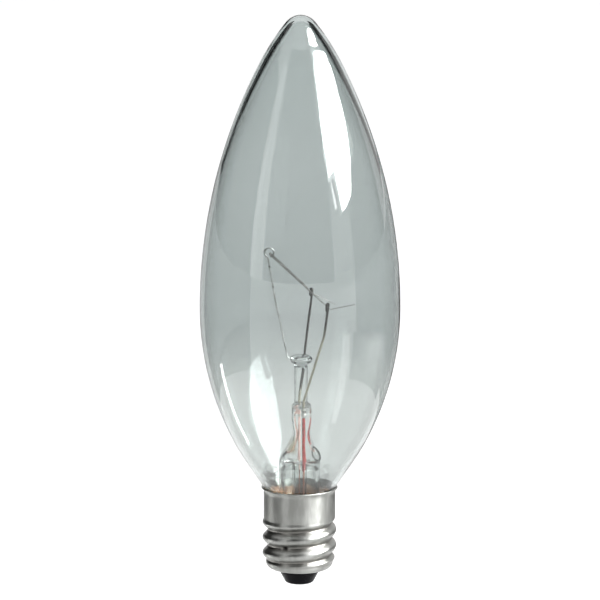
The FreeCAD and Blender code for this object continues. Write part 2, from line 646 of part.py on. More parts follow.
# Screw shell, rolled from thin sheet: flared collar, helical thread and turned-in floor


def ease(share):
    """Smooth step from 0 to 1 with level ends."""
    share = min(max(share, 0.0), 1.0)
    return share * share * (3 - 2 * share)


def thread_outside(turn, height):
    """Outside radius of the shell: a right-hand wave about a middle radius, fading out
    at both ends into the plain circles of the collar and of the turned-in floor."""
    middle = (size("crest_radius") + size("root_radius")) / 2
    half_depth = (size("crest_radius") - size("root_radius")) / 2
    above = ease((height - size("curl_height")) / size("thread_fade"))
    below = ease((size("thread_top") - height) / size("thread_fade"))
    wave = 2 * math.pi * (height - size("crest_height")) / size("thread_pitch") - turn
    fuller = size("crest_round")
    shape = math.cos(wave) - fuller * math.cos(2 * wave) + fuller
    foot = size("curl_edge") - size("roll_step") - middle
    head = size("skirt_radius") - size("roll_step") - middle
    return middle + foot * (1 - above) + head * (1 - below) + half_depth * shape * above * below


def sharpened(before, here, after):
    """Pole that pulls a cubic spline through the point here: a sixth of its second difference off."""
    return here - (before - here * 2 + after) * (1 / 6)


def thread_face(depth, columns=32, rows=42):
    """Smooth closed band through the thread's wave, the depth in from its outside."""
    low, high = size("curl_height"), size("thread_top")
    spans = rows - DEGREE
    knots = [low + (high - low) * number / spans for number in range(spans + 1)]
    clamped = [low] * DEGREE + knots + [high] * DEGREE
    heights = [sum(clamped[row + 1:row + 1 + DEGREE]) / DEGREE for row in range(rows)]
    step = size("roll_step") / 20
    grid = []
    for column in range(columns):
        turn = 2 * math.pi * column / columns
        line = []
        for row, height in enumerate(heights):
            radius = thread_outside(turn, height)
            ahead = thread_outside(turn, height + step)
            behind = thread_outside(turn, height - step)
            slope = 0.0 if row in (0, rows - 1) else (ahead - behind) / (2 * step)
            lean = math.sqrt(1 + slope * slope)
            inner = radius - depth / lean
            up = height + depth * slope / lean
            line.append(Vector(inner * math.cos(turn), inner * math.sin(turn), up))
        grid.append(line)
    poles = []
    for column in range(columns):
        before, here, after = grid[column - 1], grid[column], grid[(column + 1) % columns]
        line = [sharpened(before[row], here[row], after[row]) for row in range(rows)]
        inner_rows = range(DEGREE, rows - DEGREE)
        middle = [sharpened(line[row - 1], line[row], line[row + 1]) for row in inner_rows]
        poles.append(line[:DEGREE] + middle + line[-DEGREE:])
    surface = Part.BSplineSurface()
    around = [number / columns for number in range(columns + 1)]
    ends = [DEGREE + 1]
    surface.buildFromPolesMultsKnots(poles, [1] * (columns + 1), ends + [1] * (spans - 1) + ends,
                                     around, knots, True, False, DEGREE, DEGREE)
    return surface.toShape()


def end_ring(outer, inner, height):
    """Flat ring between the two bands at one end."""
    wires = []
    for face in (outer, inner):
        circles = [edge for edge in face.Edges if edge.isClosed()]
        nearest = min(circles, key=lambda edge: abs(edge.CenterOfMass.z - height))
        wires.append(Part.Wire([nearest]))
    return Part.makeFace(wires, "Part::FaceMakerBullseye")


outside = thread_face(0.0)
inside = thread_face(size("sheet"))
band = [outside, inside]
for height in (size("curl_height"), size("thread_top")):
    band.append(end_ring(outside, inside, height))
sewn = Part.makeCompound(band)
sewn.sewShape()
thread_solid = Part.makeSolid(Part.Shell(sewn.Faces))
if thread_solid.Volume < 0:
    thread_solid.reverse()
thread = feature("shell_thread", thread_solid)

collar = turned("shell_collar", [
    ("skirt_bore", "thread_top"),
    ("skirt_radius", "thread_top"),
    ("skirt_radius", "skirt_top"),
    ("rim_radius", "rim_top"),
    ("rim_bore", "rim_top"),
    ("skirt_bore", "skirt_top"),
])
floor = turned("shell_floor", [
    ("floor_hole", "floor_height"),
    ("curl_middle", "floor_height", "curl_radius", 1),
    ("curl_edge", "curl_height"),
    ("curl_bore", "curl_height", "curl_inside", -1),
    ("curl_middle", "floor_top"),
    ("floor_hole", "floor_top"),
])
shell = doc.addObject("Part::MultiFuse", "screw_shell")
shell.Label = "screw_shell"
shell.Shapes = [collar, thread, floor]
shell.Refine = False

# Black glass insulator, moulded into the shell's floor

turned("insulator", [
    ("plate_radius", "insulator_bottom"),
    ("insulator_flat", "insulator_bottom", "insulator_round", 1),
    ("insulator_edge", "cone_start"),
    ("floor_hole", "floor_height"),
    ("floor_hole", "floor_top"),
    ("curl_middle", "floor_top", "curl_inside", 1),
    ("curl_bore", "curl_height"),
    ("thread_foot", "curl_height"),
    ("insulator_brim", "insulator_top"),
    ("wire_hole", "insulator_top"),
    ("wire_hole", "barrel_top"),
    ("barrel_radius", "barrel_top"),
    ("barrel_radius", "plate_top"),
    ("plate_radius", "plate_top"),
])

# Centre contact: brass plate with a barrel, and the solder that fills it round the wire

turned("contact_plate", [
    ("barrel_bore", "plate_bottom"),
    ("plate_radius", "plate_bottom"),
    ("plate_radius", "plate_top"),
    ("barrel_radius", "plate_top"),
    ("barrel_radius", "barrel_top"),
    ("barrel_bore", "barrel_top"),
])
turned("contact_solder", [
    (None, None),
    ("solder_flat", None),
    ("solder_radius", "plate_bottom"),
    ("barrel_bore", "plate_bottom"),
    ("barrel_bore", "solder_top"),
    ("outer_radius", "solder_top"),
    ("outer_radius", "wire_end"),
    (None, "wire_end"),
])

# Cement between the neck and the collar

turned("basing_cement", [
    ("skirt_bore", "cement_bottom"),
    ("skirt_bore", "cement_top"),
    ("cement_bore", "cement_top"),
    ("cone_foot_radius", "cone_foot_height", "neck_fillet", 1),
    ("neck_radius", "neck_top"),
    ("neck_radius", "cement_bottom"),
])

doc.recompute()

PIECES = [
    "glass_envelope", "stem_flare", "exhaust_tube", "stem_rod", "support_wire", "filament",
    "lead_inner_rear", "lead_inner_front", "lead_seal_rear", "lead_seal_front",
    "lead_outer_rear", "lead_outer_front", "basing_cement", "screw_shell",
    "insulator", "contact_plate", "contact_solder",
]

for item in doc.Objects:
    if "Invalid" in item.State or "Error" in item.State:
        raise RuntimeError(item.Label + " failed to build")
for label in PIECES:
    shape = doc.getObjectsByLabel(label)[0].Shape
    if shape.isNull() or not shape.isValid() or len(shape.Solids) != 1:
        raise RuntimeError(label + " is not one valid solid")

os.makedirs("parts", exist_ok=True)
for label in PIECES:
    shape = doc.getObjectsByLabel(label)[0].Shape
    shape.exportStep(os.path.join("parts", label + ".step"))
    print(label, round(shape.Volume, 3))
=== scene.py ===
import math
import bpy
import numpy as np
from mathutils import Euler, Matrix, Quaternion, Vector


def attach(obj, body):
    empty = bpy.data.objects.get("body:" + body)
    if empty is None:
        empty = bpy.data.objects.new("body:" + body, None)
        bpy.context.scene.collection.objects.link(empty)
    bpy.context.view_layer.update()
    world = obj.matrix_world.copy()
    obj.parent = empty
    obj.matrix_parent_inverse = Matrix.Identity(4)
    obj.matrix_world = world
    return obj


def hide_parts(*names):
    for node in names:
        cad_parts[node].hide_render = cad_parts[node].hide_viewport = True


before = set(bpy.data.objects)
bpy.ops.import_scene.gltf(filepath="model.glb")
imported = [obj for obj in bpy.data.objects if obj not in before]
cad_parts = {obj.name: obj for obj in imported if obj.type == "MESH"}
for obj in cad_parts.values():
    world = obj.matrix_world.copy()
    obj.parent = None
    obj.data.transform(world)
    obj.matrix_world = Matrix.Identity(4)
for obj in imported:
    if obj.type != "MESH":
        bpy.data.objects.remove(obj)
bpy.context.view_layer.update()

# Grid surfaces. Sizes of the bulb are in millimetres, and go to metres where a mesh is made.

MM = 0.001
SEGMENTS = 160
UP = (0, 0, 1)
X_AXIS = np.array([1.0, 0.0, 0.0])
Y_AXIS = np.array([0.0, 1.0, 0.0])
CAP = np.radians([90.0, 70.0, 45.0, 20.0])


def skin(name, rings, finish, replaces=(), values=None, sharp=40.0, poles=True, shadow=True):
    """Closed surface through rings of points, an array of rows by columns by 3, whose columns run
    once round. With poles the first and last rows have shrunk to one point each, and without
    them the last row meets the first. values are attributes, one number for each point. The faces
    are turned over where the volume they enclose, a sixth of the sum of a . (b x c), is negative.
    Clear glass is made without a shadow."""
    rows, columns = rings.shape[:2]
    here = np.arange(columns)[None, :]
    beside = (here + 1) % columns
    if poles:
        points = np.vstack([rings[0, :1], rings[1:-1].reshape(-1, 3), rings[-1, :1]])
        row = 1 + np.arange(rows - 3)[:, None] * columns
        over = row + columns
        last = 1 + (rows - 3) * columns
        tip = np.stack([0 * here[0], 1 + beside[0], 1 + here[0]], axis=-1)
        foot = np.stack([0 * here[0] + len(points) - 1, last + here[0], last + beside[0]], axis=-1)
        fans = np.vstack([tip, foot])
    else:
        points = rings.reshape(-1, 3)
        row = np.arange(rows)[:, None] * columns
        over = (row + columns) % (rows * columns)
        fans = np.zeros((0, 3), int)
    quads = np.stack([row + here, row + beside, over + beside, over + here], axis=-1).reshape(-1, 4)
    triangles = np.vstack([quads[:, :3], quads[:, [0, 2, 3]], fans])
    corners = points[triangles]
    if np.einsum("ij,ij->", corners[:, 0], np.cross(corners[:, 1], corners[:, 2])) < 0:
        quads, fans = quads[:, ::-1], fans[:, ::-1]
    mesh = bpy.data.meshes.new(name)
    mesh.from_pydata((points * MM).tolist(), [], quads.tolist() + fans.tolist())
    mesh.polygons.foreach_set("use_smooth", np.ones(len(quads) + len(fans), bool))
    for label, grid in (values or {}).items():
        flat = np.concatenate([grid[0, :1], grid[1:-1].ravel(), grid[-1, :1]]) if poles else grid.ravel()
        mesh.attributes.new(label, "FLOAT", "POINT").data.foreach_set("value", flat)
    mesh.set_sharp_from_angle(angle=math.radians(sharp))
    mesh.materials.append(finish)
    piece = bpy.data.objects.new(name, mesh)
    piece.visible_shadow = shadow
    bpy.context.scene.collection.objects.link(piece)
    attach(piece, "root")
    if replaces:
        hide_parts(*replaces)
    return piece


def unit(vectors):
    """Vectors of length 1 in the same directions."""
    return vectors / np.linalg.norm(vectors, axis=-1, keepdims=True)


def once_round(columns):
    """Angles in even steps over a full turn, without its end."""
    return np.linspace(0, 2 * np.pi, columns, endpoint=False)


def arc(centre, radius, first, last, count):
    """Points on a circle: centre plus radius times cosine and sine of angles in even steps, in
    degrees from first to last."""
    turn = np.radians(np.linspace(first, last, count))
    return np.stack([centre[0] + radius * np.cos(turn), centre[1] + radius * np.sin(turn)], axis=-1)


def line(start, end, count):
    """Points in even steps from start up to, but without, end."""
    return np.linspace(start, end, count, endpoint=False)


def eased(low, high, at):
    """0 up to low, 1 from high on, and 3 t squared less 2 t cubed between them. With low over high
    it falls with the height instead."""
    share = np.clip((at - low) / (high - low), 0.0, 1.0)
    return share * share * (3 - 2 * share)


def round_axis(profile, columns=SEGMENTS, offset=0.0, wobble=None):
    """Rings of a turned shape: each radius and height of the profile goes once round the axis.
    wobble adds to radius and height a function of the turn and the row."""
    turn = once_round(columns)[None, :]
    radius = profile[:, :1] + 0 * turn
    height = profile[:, 1:] + 0 * turn
    if wobble:
        radius, height = wobble(radius, height, turn)
    return np.stack([offset + radius * np.cos(turn), radius * np.sin(turn), height], axis=-1)


def rounded(stops, steps=14):
    """Line through stops, a list of (point, bend radius), where an arc that touches both runs
    takes the place of each corner. The bend radius of the ends isn't used."""
    parts = [np.array([stops[0][0]], float)]
    for (before, _), (corner, bend), (after, _) in zip(stops, stops[1:], stops[2:]):
        corner = np.array(corner, float)
        back = unit(np.array(before, float) - corner)
        ahead = unit(np.array(after, float) - corner)
        half = (math.pi - math.acos(np.clip(back @ ahead, -1, 1))) / 2
        inward = unit(back + ahead)
        across = unit(ahead - back)
        centre = corner + inward * bend / math.cos(half)
        turn = np.linspace(-half, half, steps)[:, None]
        parts.append(centre - inward * bend * np.cos(turn) + across * bend * np.sin(turn))
    parts.append(np.array([stops[-1][0]], float))
    return np.vstack(parts)


def even(path, step):
    """The same line with points in even steps of its length."""
    length = np.concatenate([[0], np.cumsum(np.linalg.norm(np.diff(path, axis=0), axis=1))])
    at = np.linspace(0, length[-1], max(int(length[-1] / step), 2) + 1)
    return np.stack([np.interp(at, length, path[:, axis]) for axis in range(3)], axis=-1)


def frames(path, aside):
    """Unit vectors along a line and two across it. The first across is at right angles to aside
    and to the line, and the second to both."""
    along = unit(np.gradient(path, axis=0))
    first = unit(np.cross(np.broadcast_to(aside, along.shape), along))
    return along, first, np.cross(along, first)


def wire_rings(path, radius, aside, columns=20):
    """Rings of a round wire: each point of the line plus radius times (cosine of the turn along the
    first vector across, sine along the second), with round ends whose rows shrink as a quarter
    circle."""
    along, first, second = frames(path, aside)
    radius = np.broadcast_to(np.asarray(radius, float), len(path))
    turn = once_round(columns)[None, :, None]
    swell = np.concatenate([np.cos(CAP), np.ones(len(path)), np.cos(CAP[::-1])])
    shift = np.concatenate([-np.sin(CAP), np.zeros(len(path)), np.sin(CAP[::-1])])
    rows = np.concatenate([[0] * len(CAP), np.arange(len(path)), [len(path) - 1] * len(CAP)])
    middle = path[rows] + along[rows] * (radius[rows] * shift)[:, None]
    out = first[rows][:, None] * np.cos(turn) + second[rows][:, None] * np.sin(turn)
    return middle[:, None] + out * (radius[rows] * swell)[:, None, None]


# Shader nodes that the finishes share


def feed(tree, value, socket):
    """Ties an input to a socket, or sets it to a number or a colour."""
    if isinstance(value, bpy.types.NodeSocket):
        tree.links.new(value, socket)
    else:
        socket.default_value = (*value, 1.0) if isinstance(value, tuple) else value


def operate(tree, operation, *values):
    """Result of a sum on sockets or numbers."""
    node = tree.nodes.new("ShaderNodeMath")
    node.operation = operation
    for value, socket in zip(values, node.inputs):
        feed(tree, value, socket)
    return node.outputs[0]


def carry(tree, value, low, high, to_low, to_high):
    """A value's run from low to high carried over to another run."""
    span = tree.nodes.new("ShaderNodeMapRange")
    for label, number in (("From Min", low), ("From Max", high), ("To Min", to_low), ("To Max", to_high)):
        span.inputs[label].default_value = number
    tree.links.new(value, span.inputs["Value"])
    return span.outputs["Result"]


def noise(tree, place, scale, detail, warp=0.0):
    """Soft noise from 0 to 1 over a place."""
    texture = tree.nodes.new("ShaderNodeTexNoise")
    texture.inputs["Detail"].default_value = detail
    texture.inputs["Distortion"].default_value = warp
    tree.links.new(place, texture.inputs["Vector"])
    feed(tree, scale, texture.inputs["Scale"])
    return texture.outputs["Fac"]


def node_group(name, inputs, outputs):
    """Empty shader node group with named inputs, as (name, kind, value), and outputs."""
    group = bpy.data.node_groups.new(name, "ShaderNodeTree")
    for label, kind, value in inputs:
        socket = group.interface.new_socket(label, in_out="INPUT", socket_type="NodeSocket" + kind)
        if value is not None:
            socket.default_value = value
    for label, kind in outputs:
        group.interface.new_socket(label, in_out="OUTPUT", socket_type="NodeSocket" + kind)
    return group, group.nodes.new("NodeGroupInput").outputs, group.nodes.new("NodeGroupOutput").inputs


def grain_group():
    """Cloud is a soft noise at the scale, Fine is one at twelve times it, and Marks are thin lines
    where a warped noise crosses its middle. Stretch draws out the first two."""
    group, given, out = node_group(
        "surface_grain",
        [("Vector", "Vector", None), ("Scale", "Float", 1.0), ("Stretch", "Vector", (1, 1, 1))],
        [("Cloud", "Float"), ("Fine", "Float"), ("Marks", "Float")])
    stretched = group.nodes.new("ShaderNodeVectorMath")
    stretched.operation = "MULTIPLY"
    group.links.new(given["Vector"], stretched.inputs[0])
    group.links.new(given["Stretch"], stretched.inputs[1])
    finer = operate(group, "MULTIPLY", given["Scale"], 12.0)
    warped = noise(group, given["Vector"], given["Scale"], 5.0, 0.6)
    off_middle = operate(group, "ABSOLUTE", operate(group, "SUBTRACT", warped, 0.5))
    group.links.new(noise(group, stretched.outputs[0], given["Scale"], 3.0), out["Cloud"])
    group.links.new(noise(group, stretched.outputs[0], finer, 2.0), out["Fine"])
    group.links.new(carry(group, off_middle, 0.0, 0.012, 1.0, 0.0), out["Marks"])
    return group


GRAIN = grain_group()


class Finish:
    """A material under work: its nodes, its shader and the three values of its grain."""

    def __init__(self, name, roughness, metallic=0.0, scale=200.0, stretch=(1, 1, 1), **plain):
        self.material = bpy.data.materials.new(name)
        self.material.use_nodes = True
        self.tree = self.material.node_tree
        self.shader = self.tree.nodes["Principled BSDF"]
        self.shader.inputs["Roughness"].default_value = roughness
        self.shader.inputs["Metallic"].default_value = metallic
        for label, value in plain.items():
            feed(self.tree, value, self.shader.inputs[label.replace("_", " ")])
        self.place = self.node("ShaderNodeTexCoord").outputs["Object"]
        grain = self.node("ShaderNodeGroup")
        grain.node_tree = GRAIN
        grain.inputs["Scale"].default_value = scale
        grain.inputs["Stretch"].default_value = stretch
        self.tie(self.place, grain.inputs["Vector"])
        self.cloud, self.fine, self.marks = grain.outputs

    def node(self, kind):
        """New node of a kind."""
        return self.tree.nodes.new(kind)

    def tie(self, start, end):
        """Link from one socket to another."""
        self.tree.links.new(start, end)

    def set(self, label, socket):
        """Gives one of the shader's inputs its value."""
        self.tie(socket, self.shader.inputs[label])

    def range(self, value, low, high, to_low=0.0, to_high=1.0):
        """A value's run from low to high carried over to another run."""
        return carry(self.tree, value, low, high, to_low, to_high)

    def ramp(self, value, stops):
        """Greys along a value, eased from stop to stop."""
        ramp = self.node("ShaderNodeValToRGB")
        ramp.color_ramp.interpolation = "EASE"
        elements = ramp.color_ramp.elements
        while len(elements) < len(stops):
            elements.new(0.5)
        for element, (at, grey) in zip(elements, stops):
            element.position = at
            element.color = (grey, grey, grey, 1.0)
        self.tie(value, ramp.inputs["Fac"])
        return ramp.outputs["Color"]

    def mix(self, share, first, second, blend="MIX"):
        """Two colours, each a colour or a socket, mixed by a number or a socket."""
        mix = self.node("ShaderNodeMix")
        mix.data_type = "RGBA"
        mix.blend_type = blend
        for socket, value in ((mix.inputs[0], share), (mix.inputs[6], first), (mix.inputs[7], second)):
            feed(self.tree, value, socket)
        return mix.outputs[2]

    def attribute(self, label):
        """A number that the mesh carries for each point."""
        read = self.node("ShaderNodeAttribute")
        read.attribute_name = label
        return read.outputs["Fac"]

    def along(self, axis):
        """Place along an axis, in metres."""
        parts = self.node("ShaderNodeSeparateXYZ")
        self.tie(self.place, parts.inputs[0])
        return parts.outputs[axis]

    def grazing(self, low, high, most):
        """A share that grows from 0 to most as the surface turns edge-on to the ray."""
        turned = self.node("ShaderNodeLayerWeight")
        turned.inputs["Blend"].default_value = 0.5
        return self.range(turned.outputs["Facing"], low, high, 0.0, most)

    def blotches(self, scale, squash, detail):
        """Soft noise at a scale, squashed or drawn out along each axis."""
        squat = self.node("ShaderNodeMapping")
        squat.inputs["Scale"].default_value = squash
        self.tie(self.place, squat.inputs["Vector"])
        return noise(self.tree, squat.outputs[0], scale, detail)

    def bump(self, value, strength, distance):
        """Relief from a value, on top of what the shader's normal already has."""
        relief = self.node("ShaderNodeBump")
        relief.inputs["Strength"].default_value = strength
        relief.inputs["Distance"].default_value = distance
        self.tie(value, relief.inputs["Height"])
        normal = self.shader.inputs["Normal"]
        if normal.is_linked:
            self.tie(normal.links[0].from_socket, relief.inputs["Normal"])
        self.tie(relief.outputs[0], normal)


# Finishes. Places on the bulb are in metres here, as the shader measures them.

BLACK_COLOUR = (0.0, 0.0, 0.0)
NECK_PAINTED_LIGHT, BODY_PAINTED_LIGHT = (0.033, 0.040), (0.044, 0.080)
NECK_SHADE_HEIGHT, NECK_SHADE_SIDES = (0.0188, 0.0166), (-0.0065, 0.0065)
DRAWN_RING = (0.0854, 0.0884)
STAIN_HEIGHT, STAIN_SIDE = (0.0215, 0.0255), (-0.0024, -0.0002)
DULL_COLLAR = (0.0102, 0.0112)
BLACKENING = 0.0015


def blown_glass():
    """Clear glass that looks grey-green through two walls, with painted light that makes it paler
    towards the neck and the tip, darker edge-on, with the long waves of a blown wall, a few faint
    handling marks, painted shade at both sides of the neck, and a ring where the tip was drawn off."""
    finish = Finish("blown_glass", 0.0, scale=40.0, stretch=(1, 1, 0.12), IOR=1.5, Transmission_Weight=1.0)
    height = finish.along("Z")
    # Painted light: the glass's colour grows paler towards the neck and towards the tip, standing in for
    # reflected light.
    body = finish.mix(finish.range(height, *BODY_PAINTED_LIGHT), (0.630, 0.660, 0.656), (0.712, 0.744, 0.740))
    clear = finish.mix(finish.range(height, *NECK_PAINTED_LIGHT), (0.768, 0.793, 0.783), body)
    clear = finish.mix(finish.grazing(0.45, 0.9, 0.26), clear, BLACK_COLOUR)
    # Painted shade: near-black marks at the left and right sides of the neck, standing in for the dark
    # surroundings seen through the glass there.
    sides = finish.ramp(finish.range(finish.along("X"), *NECK_SHADE_SIDES),
                        [(0.17, 1.0), (0.24, 0.1), (0.66, 0.1), (0.74, 0.5), (0.85, 0.5), (0.92, 0.2)])
    painted_shade_band = finish.mix(1.0, finish.range(height, *NECK_SHADE_HEIGHT), sides, "MULTIPLY")
    patches = finish.range(finish.blotches(460.0, (1, 1, 2), 1), 0.50, 0.55, 0.0, 0.95)
    painted_shade_marks = operate(finish.tree, "MULTIPLY", painted_shade_band, patches)
    finish.set("Base Color", finish.mix(painted_shade_marks, clear, (0.05, 0.045, 0.04)))
    finish.set("Roughness", finish.range(finish.marks, 0.0, 1.0, 0.0, 0.05))
    finish.bump(finish.cloud, 0.06, 0.0012)
    finish.bump(finish.blotches(190.0, (1, 1, 0.4), 2), 0.05, 0.0006)
    ring = finish.ramp(finish.range(height, *DRAWN_RING), [(0.0, 0.0), (0.5, 1.0), (1.0, 0.0)])
    finish.bump(ring, 0.3, 0.0001)
    dim = finish.node("ShaderNodeVolumeAbsorption")
    dim.inputs["Color"].default_value = (0.72, 0.78, 0.77, 1.0)
    dim.inputs["Density"].default_value = 300.0
    finish.tie(dim.outputs["Volume"], finish.tree.nodes["Material Output"].inputs["Volume"])
    return finish.material


def mount_glass(name, dull, clear, index=1.4, edge=0.6, coat=0.0):
    """Stem glass with strain waves, painted shade that darkens it edge-on, and an amber stain on
    one side of the press.
    """
    finish = Finish(name, 0.0, scale=260.0, stretch=(1, 1, 0.35), IOR=index, Transmission_Weight=1.0,
                    Coat_Weight=coat)
    level = finish.ramp(finish.range(finish.along("Z"), *STAIN_HEIGHT),
                        [(0.0, 0.0), (0.3, 1.0), (0.7, 1.0), (1.0, 0.0)])
    beside = finish.ramp(finish.range(finish.along("X"), *STAIN_SIDE),
                         [(0.0, 0.0), (0.35, 0.9), (0.65, 0.9), (1.0, 0.0)])
    stain = finish.mix(1.0, level, beside, "MULTIPLY")
    body = finish.mix(stain, finish.mix(finish.cloud, dull, clear), (0.30, 0.21, 0.07))
    # Painted shade: the nearly clear glass turns towards black edge-on, standing in for the dark outlines
    # that refraction gives.
    finish.set("Base Color", finish.mix(finish.grazing(0.15, 0.9, edge), body, BLACK_COLOUR))
    finish.set("Roughness", finish.range(finish.marks, 0.0, 1.0, 0.0, 0.06))
    finish.bump(finish.cloud, 0.2, 0.0004)
    return finish.material


def shell_metal():
    """Nickel-plated rolled sheet: soft brushed lines, painted shade in the grooves and on the inside
    that leaves the crests brighter, cloudy stains, a duller collar and a dark stake mark."""
    finish = Finish("shell_metal", 0.3, 1.0, scale=520.0, stretch=(1.0, 1.0, 0.3), Anisotropic=0.5,
                    Anisotropic_Rotation=0.25)
    stains = finish.ramp(finish.cloud, [(0.38, 0.0), (0.66, 1.0)])
    plate = finish.mix(stains, (0.27, 0.275, 0.26), (0.38, 0.385, 0.37))
    # Painted shade: the plate darkens with the depth of the groove and on the whole inside of the shell.
    painted_groove_shade = finish.range(finish.attribute("groove"), 0.0, 1.0, 0.0, 0.85)
    plate = finish.mix(painted_groove_shade, plate, (0.20, 0.195, 0.18))
    finish.set("Base Color", finish.mix(finish.attribute("nick"), plate, (0.012, 0.011, 0.010)))
    brushed = finish.range(finish.cloud, 0.3, 0.7, 0.29, 0.41)
    matte = finish.range(finish.along("Z"), *DULL_COLLAR, 0.0, 0.09)
    finish.set("Roughness", operate(finish.tree, "ADD", brushed, matte))
    finish.bump(finish.fine, 0.14, 0.00012)
    finish.bump(finish.marks, 0.10, 0.00008)
    return finish.material


def metal(name, dark, light, low, high, scale=900.0, relief=0.15, metallic=1.0):
    """Wire or plate whose colour and roughness drift with a soft noise, under a fine grain."""
    finish = Finish(name, low, metallic, scale=scale)
    drift = finish.ramp(finish.cloud, [(0.35, 0.0), (0.65, 1.0)])
    finish.set("Base Color", finish.mix(drift, dark, light))
    finish.set("Roughness", finish.range(finish.cloud, 0.3, 0.7, low, high))
    finish.bump(finish.fine, relief, 0.00004)
    return finish.material


def lead_wire(name, black_above):
    """Nickel lead: pale where it stays cool, and blackened by the filament's heat above a height."""
    finish = Finish(name, 0.4, 1.0, scale=300.0)
    pale = finish.mix(finish.cloud, (0.30, 0.28, 0.21), (0.50, 0.48, 0.40))
    black = finish.mix(finish.cloud, (0.012, 0.011, 0.010), (0.05, 0.047, 0.042))
    heated = finish.range(finish.along("Z"), black_above - BLACKENING, black_above + BLACKENING)
    finish.set("Base Color", finish.mix(heated, pale, black))
    finish.set("Roughness", finish.range(finish.cloud, 0.3, 0.7, 0.3, 0.5))
    finish.bump(finish.fine, 0.15, 0.00004)
    return finish.material


def black_glass():
    """Black opaque glass, glossy, with a slight orange peel and cloudy gloss."""
    finish = Finish("black_glass", 0.2, scale=420.0, Specular_IOR_Level=0.06)
    finish.set("Base Color", finish.mix(finish.cloud, (0.003, 0.003, 0.005), (0.007, 0.007, 0.009)))
    finish.set("Roughness", finish.range(finish.cloud, 0.3, 0.7, 0.14, 0.3))
    finish.bump(finish.cloud, 0.2, 0.0002)
    return finish.material


def cement():
    """Baked brown resin cement with a coarse, dull face."""
    finish = Finish("cement", 0.8, scale=700.0)
    finish.set("Base Color", finish.mix(finish.cloud, (0.28, 0.11, 0.05), (0.50, 0.27, 0.15)))
    finish.bump(finish.fine, 0.6, 0.0001)
    return finish.material


GLASS = blown_glass()
MOUNT = mount_glass("mount_glass", (0.93, 0.95, 0.94), (0.99, 1.0, 0.995))
ROD = mount_glass("rod_glass", (0.93, 0.95, 0.94), (0.99, 1.0, 0.995), index=1.035, edge=0.8, coat=1.0)
# Painted shade: the vent's lip is a dark grey copy of the clear stem glass, so that its ring shows dark.
VENT_PAINTED_SHADE = mount_glass("vent_glass_painted_shade", (0.16, 0.165, 0.16), (0.34, 0.35, 0.34))
SHELL = shell_metal()
BLACK = black_glass()
CEMENT = cement()
TUNGSTEN = metal("tungsten", (0.20, 0.19, 0.18), (0.34, 0.33, 0.32), 0.3, 0.45)
MOLYBDENUM = metal("molybdenum", (0.36, 0.36, 0.35), (0.55, 0.55, 0.54), 0.25, 0.4)
NICKEL = {"rear": lead_wire("nickel_lead_rear", 0.0305), "front": lead_wire("nickel_lead_front", 0.0418)}
CLAD = {"rear": metal("copper_clad_pale", (0.46, 0.30, 0.27), (0.60, 0.44, 0.40), 0.35, 0.5, metallic=0.3),
        "front": metal("copper_clad", (0.22, 0.014, 0.012), (0.36, 0.03, 0.025), 0.35, 0.5, metallic=0.2)}
COPPER = metal("copper_wire", (0.36, 0.13, 0.075), (0.52, 0.24, 0.15), 0.25, 0.45)
BRASS = metal("contact_brass", (0.50, 0.38, 0.17), (0.72, 0.58, 0.30), 0.25, 0.5, scale=500.0)
SOLDER = metal("contact_solder", (0.42, 0.42, 0.41), (0.62, 0.62, 0.60), 0.25, 0.45, scale=450.0,
               relief=0.3)

# Blown envelope: the outside follows the turned outline of the glass, and the inside stands one
# wall in from it

TOP, GLASS_RADIUS, WIDEST = 91.6, 15.9, 44.9
UPPER_RADIUS, LOWER_RADIUS = 85.8, 45.7
SHORT_RADIUS, SHORT_START = 40.6, 84.0
CONE = 33.25
CONE_RADIUS, CONE_HEIGHT = 5.80, 15.85
NECK, NECK_FOOT, NECK_FILLET = 4.45, 10.2, 2.5


def envelope_outside():
    """Outline from the tip down to the neck: a round tip, the short arc under it, the long upper
    arc, the lower arc, a straight cone and a fillet into the plain neck. Where two arcs meet, both
    centres lie on one line through that point, and the tip's radius follows from the length."""
    upper = (GLASS_RADIUS - UPPER_RADIUS, WIDEST)
    lower = (GLASS_RADIUS - LOWER_RADIUS, WIDEST)
    upper_end = math.degrees(math.asin((SHORT_START - WIDEST) / UPPER_RADIUS))
    short = (upper[0] + (UPPER_RADIUS - SHORT_RADIUS) * math.cos(math.radians(upper_end)),
             SHORT_START - SHORT_RADIUS * math.sin(math.radians(upper_end)))
    reach = TOP - short[1]
    tip = (SHORT_RADIUS ** 2 - short[0] ** 2 - reach ** 2) / (2 * (SHORT_RADIUS - reach))
    tip_end = math.degrees(math.acos(-short[0] / (SHORT_RADIUS - tip)))
    cosine, sine = math.cos(math.radians(CONE)), math.sin(math.radians(CONE))
    corner = CONE_HEIGHT - (CONE_RADIUS - NECK) / math.tan(math.radians(CONE))
    fillet = NECK_FILLET * math.tan(math.radians(CONE / 2))
    return np.vstack([
        arc((0.0, TOP - tip), tip, 90, tip_end, 26)[:-1],
        arc(short, SHORT_RADIUS, tip_end, upper_end, 26)[:-1],
        arc(upper, UPPER_RADIUS, upper_end, 0, 74)[:-1],
        arc(lower, LOWER_RADIUS, 0, -CONE, 66)[:-1],
        line((lower[0] + LOWER_RADIUS * cosine, lower[1] - LOWER_RADIUS * sine),
             (NECK + fillet * sine, corner + fillet * cosine), 12),
        arc((NECK + NECK_FILLET, corner - fillet), NECK_FILLET, 180 - CONE, 180, 10)[:-1],
        line((NECK, corner - fillet), (NECK, NECK_FOOT), 5),
        [(NECK, NECK_FOOT)],
    ])


def envelope_wall(height):
    """Wall of the glass: 0.6 mm, eased up to 1.0 at the drawn tip and to 0.7 at the neck."""
    return 0.6 + 0.4 * eased(66.0, 86.0, height) + 0.1 * eased(24.0, 14.0, height)


